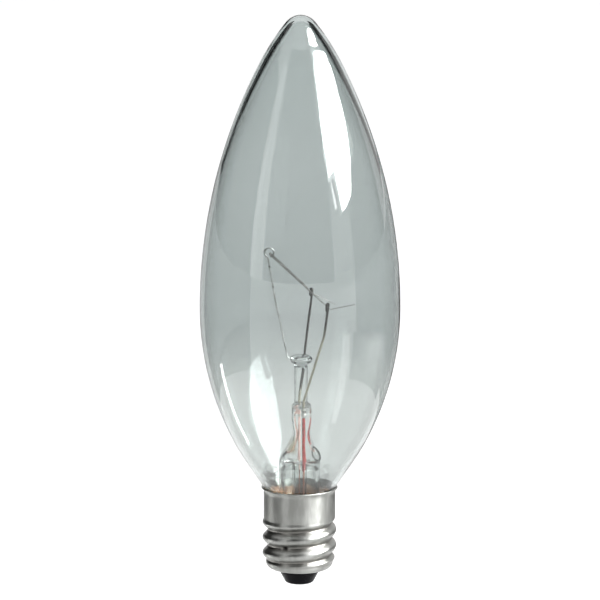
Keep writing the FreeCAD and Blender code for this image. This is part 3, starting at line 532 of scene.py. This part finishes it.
def walled(outside, wall):
    """Outline with its inside: each point moved in, at right angles to the outline, by its wall."""
    along = unit(np.gradient(outside, axis=0))
    along[0] = (1.0, 0.0)
    inside = outside + np.stack([along[:, 1], -along[:, 0]], axis=-1) * wall[:, None]
    inside[0, 0] = 0.0
    return np.vstack([outside, inside[::-1]])


outside = envelope_outside()
envelope = walled(outside, envelope_wall(outside[:, 1]))
skin("blown_envelope", round_axis(envelope), GLASS, ["glass_envelope"], shadow=False)

# Glass mount: flare, tube and flat press in one fused body, with the rod, its button, the exhaust
# tube and the lip of the vent

TUBE, TUBE_BORE = 3.3, 2.6
FLARE_BEND, FLARE_HEIGHT, FLARE_MOUTH = 5.0, 12.6, 3.45
SHOULDER, PRESS_FOOT, PRESS_TOP, CROWN = 19.8, 24.2, 28.6, 0.8
PRESS_THICK, PRESS_WIDE, PRESS_SHIFT, SQUARENESS = 1.62, 3.9, 0.3, 0.62
ROD_RADIUS, ROD_TOP, ROD_SHIFT = 1.08, 35.4, 0.2
EXHAUST, EXHAUST_BORE = 1.15, 0.8


def stem_section(height, radius_x, radius_y, shift, power, columns=112):
    """Ring of the stem: half widths times cosine and sine, each raised to the power with its sign
    kept, so that 1 gives an ellipse and less gives flat sides, then shifted."""
    turn = once_round(columns)[None, :]
    cosine, sine = np.cos(turn), np.sin(turn)
    x = radius_x[:, None] * np.sign(cosine) * np.abs(cosine) ** power[:, None] + shift[:, None]
    y = radius_y[:, None] * np.sign(sine) * np.abs(sine) ** power[:, None]
    return np.stack([x, y, height[:, None] + 0 * x], axis=-1)


def mount_rings(steps=44):
    """Rows from inside the tube down to the flare's lip, out, up the tube, and through the shoulder
    that turns the round tube into the flat press, with a slight waist and a round top."""
    inside = np.vstack([
        [(0.0, 20.75)],
        arc((0.0, 18.5), TUBE_BORE, 62, 0, 12) * (1, 0.85) + (0, 2.775),
        line((TUBE_BORE, 18.4), (TUBE_BORE, FLARE_HEIGHT), 8),
        arc((FLARE_MOUTH + FLARE_BEND, FLARE_HEIGHT), 5.85, 180, 213, 8)[:-1],
    ])
    inside[:, 0] = np.clip(inside[:, 0], 0, FLARE_MOUTH)
    lip = np.array([(3.62, 9.45), (3.95, 9.4), (4.3, 9.45), (4.42, 9.7), (4.42, 10.1)])
    flare = arc((TUBE + FLARE_BEND, FLARE_HEIGHT), FLARE_BEND, 205, 180, 9)
    flare[:, 0] = np.clip(flare[:, 0], TUBE, 3.72)
    low = np.vstack([inside, lip, flare, line((TUBE, 12.8), (TUBE, 19.6), 8)])
    height = np.concatenate([low[:, 1], np.linspace(SHOULDER, PRESS_TOP, steps)])
    radius = np.concatenate([low[:, 0], np.full(steps, TUBE)])
    pressed = eased(SHOULDER, PRESS_FOOT, height) * (np.arange(len(height)) >= len(low))
    waist = 1 - 0.16 * np.exp(-((height - 25.3) / 1.5) ** 2) * pressed
    thick = radius * (1 - pressed) + PRESS_THICK * waist * pressed
    wide = radius * (1 - pressed) + PRESS_WIDE * pressed
    top = np.linspace(0, 1, 16)[1:]
    crown = np.sqrt(1 - top ** 2)
    return stem_section(
        np.concatenate([height, PRESS_TOP + CROWN * top]),
        np.concatenate([thick, PRESS_THICK * crown]),
        np.concatenate([wide, PRESS_WIDE * crown]),
        np.concatenate([PRESS_SHIFT * pressed, np.full(len(top), PRESS_SHIFT)]),
        np.concatenate([1 - SQUARENESS * pressed, 1 - SQUARENESS * (1 - top)]))


def vent_rings(length=1.3, width=0.62, lip=0.17, columns=14):
    """Rings of the vent's lip: each point of an oval on the shoulder, given by its half length and
    half width, plus the lip's radius times (cosine of the turn outward in the oval's plane, sine
    along its normal)."""
    turn = once_round(56)[:, None]
    normal = unit(np.array([0.55, -0.82, 0.12]))
    level = unit(np.cross(UP, normal))
    steep = np.cross(normal, level)
    lengthways, sideways = 0.5 * level - 0.866 * steep, 0.866 * level + 0.5 * steep
    centre = np.array([2.5, -1.95, 21.7])
    oval = centre + length * lengthways * np.cos(turn) + width * sideways * np.sin(turn)
    outward = unit(oval - oval.mean(axis=0))
    around = once_round(columns)[None, :, None]
    return oval[:, None] + lip * (outward[:, None] * np.cos(around) + normal * np.sin(around))


fillet = np.linspace(0, 1, 12)[:-1]
rod_outline = np.vstack([
    [(0.0, 28.2), (0.9, 28.25), (1.4, 28.4)],
    np.stack([ROD_RADIUS + 0.45 * (1 - fillet) ** 2, PRESS_TOP + 1.1 * fillet], axis=-1),
    line((ROD_RADIUS, 29.7), (ROD_RADIUS, ROD_TOP), 14),
    [(ROD_RADIUS, 35.55), (0.95, 35.65), (0.0, 35.68)],
])
button_outline = np.vstack([
    [(0.0, 35.44), (1.0, 35.46), (1.10, 35.72), (1.18, 35.92)],
    arc((1.22, 36.6), 0.58, -80, 90, 18),
    [(0.9, 37.14), (0.45, 37.05), (0.0, 37.03)],
])
exhaust_outline = np.vstack([
    arc((0.0, 9.6), EXHAUST, -90, 0, 14) * (1, 1.9) + (0, -8.64),
    line((EXHAUST, 10.0), (EXHAUST, 20.7), 12),
    [(1.13, 20.72), (0.82, 20.72)],
    line((EXHAUST_BORE, 20.7), (EXHAUST_BORE, 10.2), 12),
    arc((0.0, 9.9), EXHAUST_BORE, 0, -90, 12) * (1, 1.7) + (0, -6.93),
])
skin("glass_mount", mount_rings(), MOUNT, ["stem_flare"], sharp=60.0, shadow=False)
skin("glass_rod", round_axis(rod_outline, 96, offset=ROD_SHIFT), ROD, ["stem_rod"],
     sharp=60.0, shadow=False)
skin("glass_button", round_axis(button_outline, 96, offset=ROD_SHIFT), MOUNT,
     sharp=60.0, shadow=False)
skin("exhaust_glass", round_axis(exhaust_outline, 72), MOUNT, ["exhaust_tube"],
     shadow=False)
skin("vent_lip", vent_rings(), VENT_PAINTED_SHADE, poles=False, shadow=False)

# Filament in a V through the support's loop, and its straight legs and loose ends

LOOP, LOOP_RADIUS = np.array([-4.9, 0.0, 53.8]), 0.75
APEX = LOOP + (0.16, 0.0, -0.2)
CLAMP_HEIGHT = 46.3
CLAMPS = {"rear": np.array([1.85, 6.0, CLAMP_HEIGHT]), "front": np.array([4.3, -6.0, CLAMP_HEIGHT])}
TAILS = {"rear": np.array([3.4, 2.0, -2.1]), "front": np.array([3.8, -1.0, 1.0])}
SIDE = {"rear": 1, "front": -1}
LEG_RADIUS, SUPPORT_RADIUS = 0.062, 0.14
slopes = {}
ends = {}
for name, clamp in CLAMPS.items():
    bend_off = APEX + (0, SIDE[name] * 0.5, 0)
    slopes[name] = unit(clamp - bend_off)
    ends[name] = (clamp - slopes[name] * 1.1, bend_off)


def filament_coil(turns_per_mm=8.0, radius=0.125, thickness=0.032, columns=6):
    """Fine coil: the line from hook to hook plus radius times (cosine, sine) of a turn that grows
    evenly with its length, with a thin wire round that."""
    stops = [(ends["rear"][0], 0), (ends["rear"][1], 0.45), (ends["front"][1], 0.45), (ends["front"][0], 0)]
    centre = even(rounded(stops), 0.0105)
    _, first, second = frames(centre, unit(np.cross(slopes["rear"], slopes["front"])))
    length = np.arange(len(centre)) * np.linalg.norm(centre[1] - centre[0])
    turn = 2 * np.pi * turns_per_mm * length
    outward = first * np.cos(turn)[:, None] + second * np.sin(turn)[:, None]
    winding = centre + outward * radius
    other = np.cross(unit(np.gradient(winding, axis=0)), outward)
    around = once_round(columns)[None, :, None]
    section = outward[:, None] * np.cos(around) + other[:, None] * np.sin(around)
    rings = winding[:, None] + thickness * section
    first_tip = np.repeat(winding[:1, None], columns, 1)
    last_tip = np.repeat(winding[-1:, None], columns, 1)
    return np.concatenate([first_tip, rings, last_tip])


skin("filament_coil", filament_coil(), TUNGSTEN, ["filament"], sharp=80.0)
for name, clamp in CLAMPS.items():
    past_hook = clamp + slopes[name] * 0.6
    leg = rounded([(ends[name][0] - slopes[name] * 0.3, 0), (past_hook, 0.5), (past_hook + TAILS[name], 0)])
    skin("filament_leg_" + name, wire_rings(even(leg, 0.15), LEG_RADIUS, np.array([0.0, 0.3, 1.0]), 10),
         TUNGSTEN)

# Leads: nickel with a hook over the filament leg, copper-clad through the press, copper below

TURN = math.radians(11.5)
SPREAD, WELD, SEAL_FOOT = 1.6, 28.2, 19.0
LEAD_RADIUS, COPPER_RADIUS = 0.19, 0.14
SEAL_RADIUS = {"rear": 0.18, "front": 0.23}
HOOK, HOOK_BEND = 0.32, 0.31
BEAD_FOOT, BEAD_TOP = 27.4, 28.7
PITCH, CREST, GROOVE, SHEET = 2.54, 5.88, 5.10, 0.25
STAKE, STAKE_HEIGHT, STAKE_GAP = math.radians(244.0), 6.8, 0.12


def in_press(across, height):
    """Place in the plane of the sealed wires, across from the middle of the press."""
    return np.array([PRESS_SHIFT * math.cos(TURN) - across * math.sin(TURN),
                     PRESS_SHIFT * math.sin(TURN) + across * math.cos(TURN), height])


for name, clamp in CLAMPS.items():
    side = SIDE[name]
    across = side * SPREAD
    weld = in_press(across, WELD)
    level = unit(np.array([-slopes[name][1] * side, slopes[name][0] * side, 0]))
    rise, fall = clamp - level * HOOK, clamp + level * HOOK
    crest = CLAMP_HEIGHT + 0.2 + HOOK
    lead = even(rounded([
        (weld, 0),
        (in_press(across, 30.1), 1.25),
        (clamp + (-0.5, -side * 0.45, -4.8), 2.5),
        ((rise[0], rise[1], crest), HOOK_BEND),
        ((fall[0], fall[1], crest), HOOK_BEND),
        ((fall[0], fall[1], crest - HOOK - 0.75), 0),
    ]), 0.12)
    skin("lead_" + name, wire_rings(lead, LEAD_RADIUS, np.cross(level, UP)), NICKEL[name],
         ["lead_inner_" + name])
    bead = np.linspace(in_press(across, BEAD_FOOT), in_press(across, BEAD_TOP), 24)
    swell = 0.2 + 0.17 * np.sin(np.linspace(0, np.pi, 24)) ** 2
    skin("weld_bead_" + name, wire_rings(bead, swell, X_AXIS), SOLDER)
    seal = np.linspace(in_press(across, SEAL_FOOT), weld, 30)
    skin("sealed_wire_" + name, wire_rings(seal, SEAL_RADIUS[name], X_AXIS), CLAD[name],
         ["lead_seal_" + name])


def outer_lead(piece, name, bend_height, rest):
    """Copper lead: straight down from the press to a bend, then through the rest of its stops."""
    top = in_press(SIDE[name] * SPREAD, SEAL_FOOT)
    path = even(rounded([(top, 0), ((top[0], top[1], bend_height), 0.8)] + rest), 0.2)
    skin(piece, wire_rings(path, COPPER_RADIUS, X_AXIS, 14), COPPER, ["lead_outer_" + name])


stake_reach = GROOVE - SHEET - STAKE_GAP - COPPER_RADIUS
side_end = (stake_reach * math.cos(STAKE), stake_reach * math.sin(STAKE), STAKE_HEIGHT)
outer_lead("centre_lead", "rear", 8.2, [((0, 0, 5.0), 0.8), ((0, 0, 0.25), 0)])
outer_lead("side_lead", "front", 8.9, [(side_end, 0)])


def support_path():
    """Out of the button, up to the left in a slight bow, and 322 degrees round the filament."""
    entry = math.radians(254.0)
    start = LOOP + LOOP_RADIUS * np.array([math.cos(entry), 0, math.sin(entry)])
    leg = rounded([((-0.75, 0, 36.05), 0), ((-1.95, 0, 36.9), 0.4), ((-3.75, 0, 45.3), 2.5), (start, 0)])
    turn = entry - np.radians(np.linspace(0, 322, 60))[1:]
    loop = LOOP + LOOP_RADIUS * np.stack([np.cos(turn), 0 * turn, np.sin(turn)], axis=-1)
    return even(np.vstack([leg, loop]), 0.1)


skin("support_hook", wire_rings(support_path(), SUPPORT_RADIUS, Y_AXIS, 14), MOLYBDENUM,
     ["support_wire"])

# Screw shell: rim, collar, rolled thread, curl and floor, as one sheet with an inside

COLLAR, CURL = 5.7, 5.35
THREAD_FOOT, THREAD_TOP = 3.57, 10.95
FADE_IN, FADE_OUT = (THREAD_FOOT, 4.47), (THREAD_TOP, 10.05)


def thread_radius(turn, height):
    """Outside of the rolled thread: a middle radius plus a wave of the height over the pitch less
    the turn, a little fuller at its crests, fading out at both ends into plain circles."""
    middle, half = (CREST + GROOVE) / 2, (CREST - GROOVE) / 2
    above = eased(*FADE_IN, height)
    below = eased(*FADE_OUT, height)
    wave = 2 * np.pi * (height - 1.2) / PITCH - turn
    shape = np.cos(wave) - 0.12 * np.cos(2 * wave) + 0.12
    plain = middle + (CURL - middle) * (1 - above) + (COLLAR - middle) * (1 - below)
    return plain + half * shape * above * below


def shell_rings(columns=176, rows=150):
    """Rows from the middle of the floor's hole out along its underside, round the curl, up the
    thread and the collar, over the rounded rim, and down the inside one sheet further in. The
    stake is a bell-shaped dent, e to the minus square of the distance. groove grows with the depth
    of the groove and is 0.6 on the inside, and carries painted shade; nick grows with the dent."""
    turn = once_round(columns)[None, :]
    under = np.vstack([line((3.36, 2.57), (4.35, 2.57), 5), arc((4.35, THREAD_FOOT), 1.0, -90, 0, 16)[:-1]])
    thread = np.stack([np.full(rows, 5.5), np.linspace(THREAD_FOOT, THREAD_TOP, rows)], axis=-1)
    collar = np.vstack([
        line((COLLAR, 11.0), (COLLAR, 15.0), 22),
        [(5.71, 15.15), (5.76, 15.32), (5.85, 15.5), (5.96, 15.65), (6.03, 15.73)],
    ])
    rim = arc((5.965, 15.78), 0.125, -30, 150, 10)
    inner_collar = np.vstack([
        [(5.84, 15.76), (5.70, 15.52), (5.56, 15.32), (5.47, 15.15)],
        line((5.45, 15.0), (5.45, 11.0), 14),
    ])
    inner_thread = thread[::-2]
    inner_floor = np.vstack([arc((4.35, THREAD_FOOT), 0.75, 0, -90, 10), [(3.9, 2.82), (3.36, 2.82)]])
    profile = np.vstack([under, thread, collar, rim, inner_collar, inner_thread, inner_floor])
    radius = profile[:, :1] + 0 * turn
    height = profile[:, 1:] + 0 * turn
    outer = slice(len(under), len(under) + rows)
    inner = slice(len(profile) - len(inner_floor) - len(inner_thread), len(profile) - len(inner_floor))
    radius[outer] = thread_radius(turn, height[outer])
    radius[inner] = thread_radius(turn, height[inner]) - SHEET
    groove = np.zeros_like(radius)
    groove[outer] = np.clip((5.62 - radius[outer]) / 0.5, 0, 1)
    # Painted shade all over the inside of the shell.
    groove[inner.start:] = 0.6
    from_stake = np.angle(np.exp(1j * (turn - STAKE))) * 5.2
    nick = np.exp(-(from_stake / 0.34) ** 2 - ((height - STAKE_HEIGHT) / 0.30) ** 2)
    radius = radius - 0.2 * nick
    rings = np.stack([radius * np.cos(turn), radius * np.sin(turn), height], axis=-1)
    return rings, {"groove": groove, "nick": np.clip(1.3 * nick, 0, 1)}


rings, marks = shell_rings()
skin("rolled_shell", rings, SHELL, ["screw_shell"], marks, poles=False)

# Black glass cone, brass plate and solder

insulator_outline = np.vstack([
    [(0.62, 4.3), (0.62, 0.6), (1.40, 0.36), (1.45, 0.12), (1.52, 0.10), (1.82, 0.10)],
    arc((1.82, 0.72), 0.62, -85, -20, 10),
    line((2.45, 0.60), (3.31, 2.20), 12),
    [(3.35, 2.45), (3.36, 2.60), (3.36, 2.82), (4.35, 2.83)],
    arc((4.35, THREAD_FOOT), 0.745, -80, 0, 8),
    [(5.08, 3.62), (4.65, 4.28), (4.5, 4.3)],
])
skin("insulator_cone", round_axis(insulator_outline, 128), BLACK, ["insulator"],
     poles=False)

solder_outline = np.vstack([
    [(0.0, 0.0), (0.3, 0.0), (0.52, 0.0)],
    arc((0.5, 0.45), 0.45, -80, -30, 7),
    [(0.93, 0.14), (0.90, 0.3), (0.48, 0.34), (0.48, 0.9), (0.2, 0.92), (0.0, 0.92)],
])
skin("solder_drop", round_axis(solder_outline, 64), SOLDER, ["contact_solder"],
     sharp=60.0)

# Cement ring, with an uneven top edge that shows through the neck


def cement_edge(radius, height, turn):
    """The top rows rise and fall round the ring in a sum of three waves."""
    lift = 0.16 * np.sin(5 * turn + 0.4) + 0.10 * np.sin(11 * turn + 2.0) + 0.07 * np.sin(17 * turn)
    return radius, height + lift * eased(14.2, 14.8, height) * 0.9


cement_outline = np.array([
    (4.47, 11.5), (5.43, 11.5), (5.43, 13.0), (5.43, 14.6), (5.40, 14.85), (5.30, 14.9),
    (5.22, 14.8), (4.85, 14.2), (4.6, 13.7), (4.47, 13.1), (4.47, 12.3),
])
skin("cement_ring", round_axis(cement_outline, 128, wobble=cement_edge), CEMENT,
     ["basing_cement"], poles=False)

# The contact plate keeps the mesh of its solid, in brass

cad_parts["contact_plate"].data.materials[0] = BRASS

# Floor, lamps, cards and camera, in metres. Azimuth 0 is the camera's side, and angles are degrees.

MIDDLE = (0, 0, 0.045)
WHITE = (1.0, 1.0, 1.0)
FLOOR = -0.03
CARD_LEVEL, STRIP_LEVEL, PATCH_LEVEL = -0.029, -0.028, -0.0275
CAMERA_ELEVATION, CAMERA_ROLL = 11.5, 0.15


def seen_directly(tree, strength):
    """The strength for camera, glossy and transmission rays, and 0 for the rest."""
    path = tree.nodes.new("ShaderNodeLightPath").outputs
    mirrored = operate(tree, "MAXIMUM", path["Is Camera Ray"], path["Is Glossy Ray"])
    seen = operate(tree, "MAXIMUM", mirrored, path["Is Transmission Ray"])
    return operate(tree, "MULTIPLY", seen, strength)


def paper_white():
    """White floor that shows as white to the camera, in gloss and through glass, and still takes
    the shadow of the bulb."""
    finish = Finish("paper_white", 0.9, scale=3.0, Base_Color=(0.80, 0.80, 0.80), Specular_IOR_Level=0.0,
                    Emission_Color=WHITE)
    finish.set("Emission Strength", seen_directly(finish.tree, 0.62))
    return finish.material


def glow(name, radiance, faded=False):
    """Glowing white card, lit evenly, or faded by the number that its mesh carries."""
    finish = Finish(name, 1.0, scale=5.0, Base_Color=BLACK_COLOUR, Specular_IOR_Level=0.0,
                    Emission_Color=WHITE, Emission_Strength=radiance)
    if faded:
        finish.set("Emission Strength", finish.range(finish.attribute("fade"), 0.0, 1.0, 0.0, radiance))
    return finish.material


def cloth(name, low, high):
    """Plain studio cloth in a grey between two."""
    finish = Finish(name, 1.0, scale=20.0, Specular_IOR_Level=0.0)
    finish.set("Base Color", finish.mix(finish.cloud, (low, low, low), (high, high, high)))
    return finish.material


def floor_sheet(height=FLOOR, half=4.0):
    """Flat square at one height."""
    mesh = bpy.data.meshes.new("floor")
    corners = [(-half, -half, height), (half, -half, height), (half, half, height), (-half, half, height)]
    mesh.from_pydata(corners, [], [(0, 1, 2, 3)])
    mesh.materials.append(paper_white())
    floor = bpy.data.objects.new("floor", mesh)
    bpy.context.scene.collection.objects.link(floor)


def softbox(name, azimuth, elevation, distance, width, height, radiance, roll=0.0):
    """Rectangular lamp that faces the middle of the bulb, rolled about the line to it. Its power is
    pi times its area times its radiance."""
    lamp = bpy.data.lights.new(name, "AREA")
    lamp.shape = "RECTANGLE"
    lamp.size, lamp.size_y = width, height
    lamp.energy = math.pi * width * height * radiance
    box = bpy.data.objects.new(name, lamp)
    a, e = math.radians(azimuth), math.radians(elevation)
    way = Vector((math.sin(a) * math.cos(e), -math.cos(a) * math.cos(e), math.sin(e)))
    box.location = Vector(MIDDLE) + way * distance
    box.rotation_euler = (way.to_track_quat("Z", "Y") @ Quaternion(UP, math.radians(roll))).to_euler()
    box.visible_glossy = False
    bpy.context.scene.collection.objects.link(box)


def only_in_gloss(name, points, faces, finish):
    """Card that only gloss and refraction show, and the camera never sees."""
    mesh = bpy.data.meshes.new(name)
    mesh.from_pydata(points.tolist(), [], faces)
    mesh.materials.append(finish)
    card = bpy.data.objects.new(name, mesh)
    bpy.context.scene.collection.objects.link(card)
    card.visible_camera = card.visible_diffuse = card.visible_shadow = False
    return card


def compass(azimuth):
    """Level directions: sine of the azimuth, minus its cosine, and 0."""
    turn = np.radians(azimuth)
    return np.stack([np.sin(turn), -np.cos(turn), 0 * turn], -1)


def strip(steps):
    """Faces between two rows of points."""
    left = np.arange(steps - 1)
    return np.stack([left, left + 1, left + 1 + steps, left + steps], -1).tolist()


def floor_card(name, first, last, finish, near=0.14, far=2.2, level=CARD_LEVEL, steps=48):
    """Card that lies beside the bulb: the level directions from first to last, times near and far.
    Only gloss shows it."""
    around = compass(np.linspace(first, last, steps))
    points = np.vstack([around * near, around * far]) + (0, 0, level)
    card = only_in_gloss(name, points, strip(steps), finish)
    card.visible_transmission = False


def wall_card(name, first, last, finish, high=3.0, radius=2.2, low=CARD_LEVEL, steps=48):
    """Card that stands round the bulb: radius times the level directions from first to last, from
    low to high."""
    around = radius * compass(np.linspace(first, last, steps))
    points = np.vstack([around + (0, 0, low), around + (0, 0, high)])
    return only_in_gloss(name, points, strip(steps), finish)


def soft_patch(name, first, last, near, far, radiance, steps=24):
    """Glowing floor card that fades out to its edges: its share of the radiance is the product of
    sine squared of pi times the share of the way across and the same along. Only gloss shows it."""
    across, along = np.meshgrid(np.linspace(0, 1, steps), np.linspace(0, 1, steps), indexing="ij")
    reach = near + (far - near) * along
    points = reach[..., None] * compass(first + (last - first) * across) + (0, 0, PATCH_LEVEL)
    corner = (np.arange(steps - 1)[:, None] * steps + np.arange(steps - 1)[None, :]).ravel()
    faces = np.stack([corner, corner + 1, corner + steps + 1, corner + steps], -1).tolist()
    card = only_in_gloss(name, points.reshape(-1, 3), faces, glow(name, radiance, faded=True))
    card.visible_transmission = False
    fade = (np.sin(np.pi * across) * np.sin(np.pi * along)) ** 2
    card.data.attributes.new("fade", "FLOAT", "POINT").data.foreach_set("value", fade.ravel())


def lit_card(name, corners, radiance, distance=1.3):
    """Glowing card through corners given as azimuth and elevation: from the bulb's middle, distance
    times (level direction times cosine of the elevation, sine of the elevation)."""
    azimuth, elevation = np.array(corners, float).T
    rise = np.radians(elevation)[:, None]
    points = MIDDLE + distance * (compass(azimuth) * np.cos(rise) + UP * np.sin(rise))
    points = np.vstack([points.mean(axis=0), points])
    edge = np.arange(len(corners))
    faces = np.stack([0 * edge, 1 + edge, 1 + (edge + 1) % len(corners)], -1).tolist()
    only_in_gloss(name, points, faces, glow(name, radiance))


def studio():
    """Even grey room light, white where it is seen directly, in gloss or through glass."""
    world = bpy.data.worlds.new("studio")
    world.use_nodes = True
    bpy.context.scene.world = world
    tree = world.node_tree
    room = tree.nodes["Background"]
    white = tree.nodes.new("ShaderNodeBackground")
    mix = tree.nodes.new("ShaderNodeMixShader")
    for light, strength in ((room, 0.35), (white, 1.0)):
        light.inputs["Color"].default_value = (*WHITE, 1.0)
        light.inputs["Strength"].default_value = strength
    tree.links.new(seen_directly(tree, 1.0), mix.inputs[0])
    tree.links.new(room.outputs[0], mix.inputs[1])
    tree.links.new(white.outputs[0], mix.inputs[2])
    tree.links.new(mix.outputs[0], tree.nodes["World Output"].inputs["Surface"])


def camera():
    """Camera 0.7 m in front and 11.5 degrees above, with a long lens, rolled by a hair."""
    lens = bpy.data.cameras.new("camera")
    lens.lens = 265.4
    lens.sensor_width = 36.0
    lens.clip_start = 0.01
    eye = bpy.data.objects.new("camera", lens)
    eye.location = (0.0, -0.6859, 0.1857)
    level = Euler((math.radians(90 - CAMERA_ELEVATION), 0.0, 0.0)).to_quaternion()
    eye.rotation_euler = (level @ Quaternion(UP, math.radians(CAMERA_ROLL))).to_euler()
    bpy.context.scene.collection.objects.link(eye)
    bpy.context.scene.camera = eye


DARK = cloth("dark_cloth", 0.02, 0.04)
GREY = cloth("grey_cloth", 0.16, 0.22)
PALE = cloth("pale_cloth", 0.70, 0.80)
KEY_CARD = [
    (56, 11.5), (61, 11.5), (72, 12.5), (80, 17), (90, 22), (95, 26), (102, 29), (101, 32), (82, 40),
    (68, 45), (46, 45), (43, 39), (40, 35), (39, 29), (41, 23.5), (41, 20), (51, 20.5), (52, 18.5),
    (54, 14),
]
KEY_CARD_TOP = [(62, 59), (80, 54), (92, 47), (88, 44.5), (74, 47.5), (60, 53), (50, 58)]

floor_sheet()
wall_card("left_wall", -58, -158, DARK, high=1.7)
wall_card("right_wall", 66, 125, GREY)
wall_card("right_back_wall", 125, 158, DARK, high=1.7).visible_glossy = False
wall_card("front_wall", -44, 40, GREY)
floor_card("left_floor", -58, -141, DARK)
floor_card("right_floor", 66, 152, DARK)
floor_card("left_back_floor", -141, -172, PALE)
floor_card("right_back_floor", 152, 172, GREY)
softbox("key_lamp", 72, 34, 1.2, 1.05, 0.78, 4.5, roll=15)
softbox("fill_lamp", -38, 22, 1.4, 0.9, 0.7, 0.6)
lit_card("key_card", KEY_CARD, 30.0)
lit_card("key_card_top", KEY_CARD_TOP, 30.0)
lit_card("key_card_edge", [(42.5, 19), (45, 18.5), (49, 13), (46.5, 12.5)], 9.0)
lit_card("side_card", [(-60, -2), (-54, -2), (-54, 44), (-60, 44)], 2.0)
lit_card("side_card_dim", [(-54, -2), (-44, -2), (-44, 44), (-54, 44)], 1.7)
floor_card("floor_strip", -106, -112, glow("floor_strip", 9.0), 0.062, 0.17, STRIP_LEVEL, 6)
soft_patch("floor_patch", 62, 124, 0.12, 0.30, 2.2)
floor_card("floor_streak", 49, 58, glow("floor_streak", 3.2), 0.06, 0.28, PATCH_LEVEL, 8)
studio()
camera()

bpy.context.scene.view_settings.view_transform = "Standard"
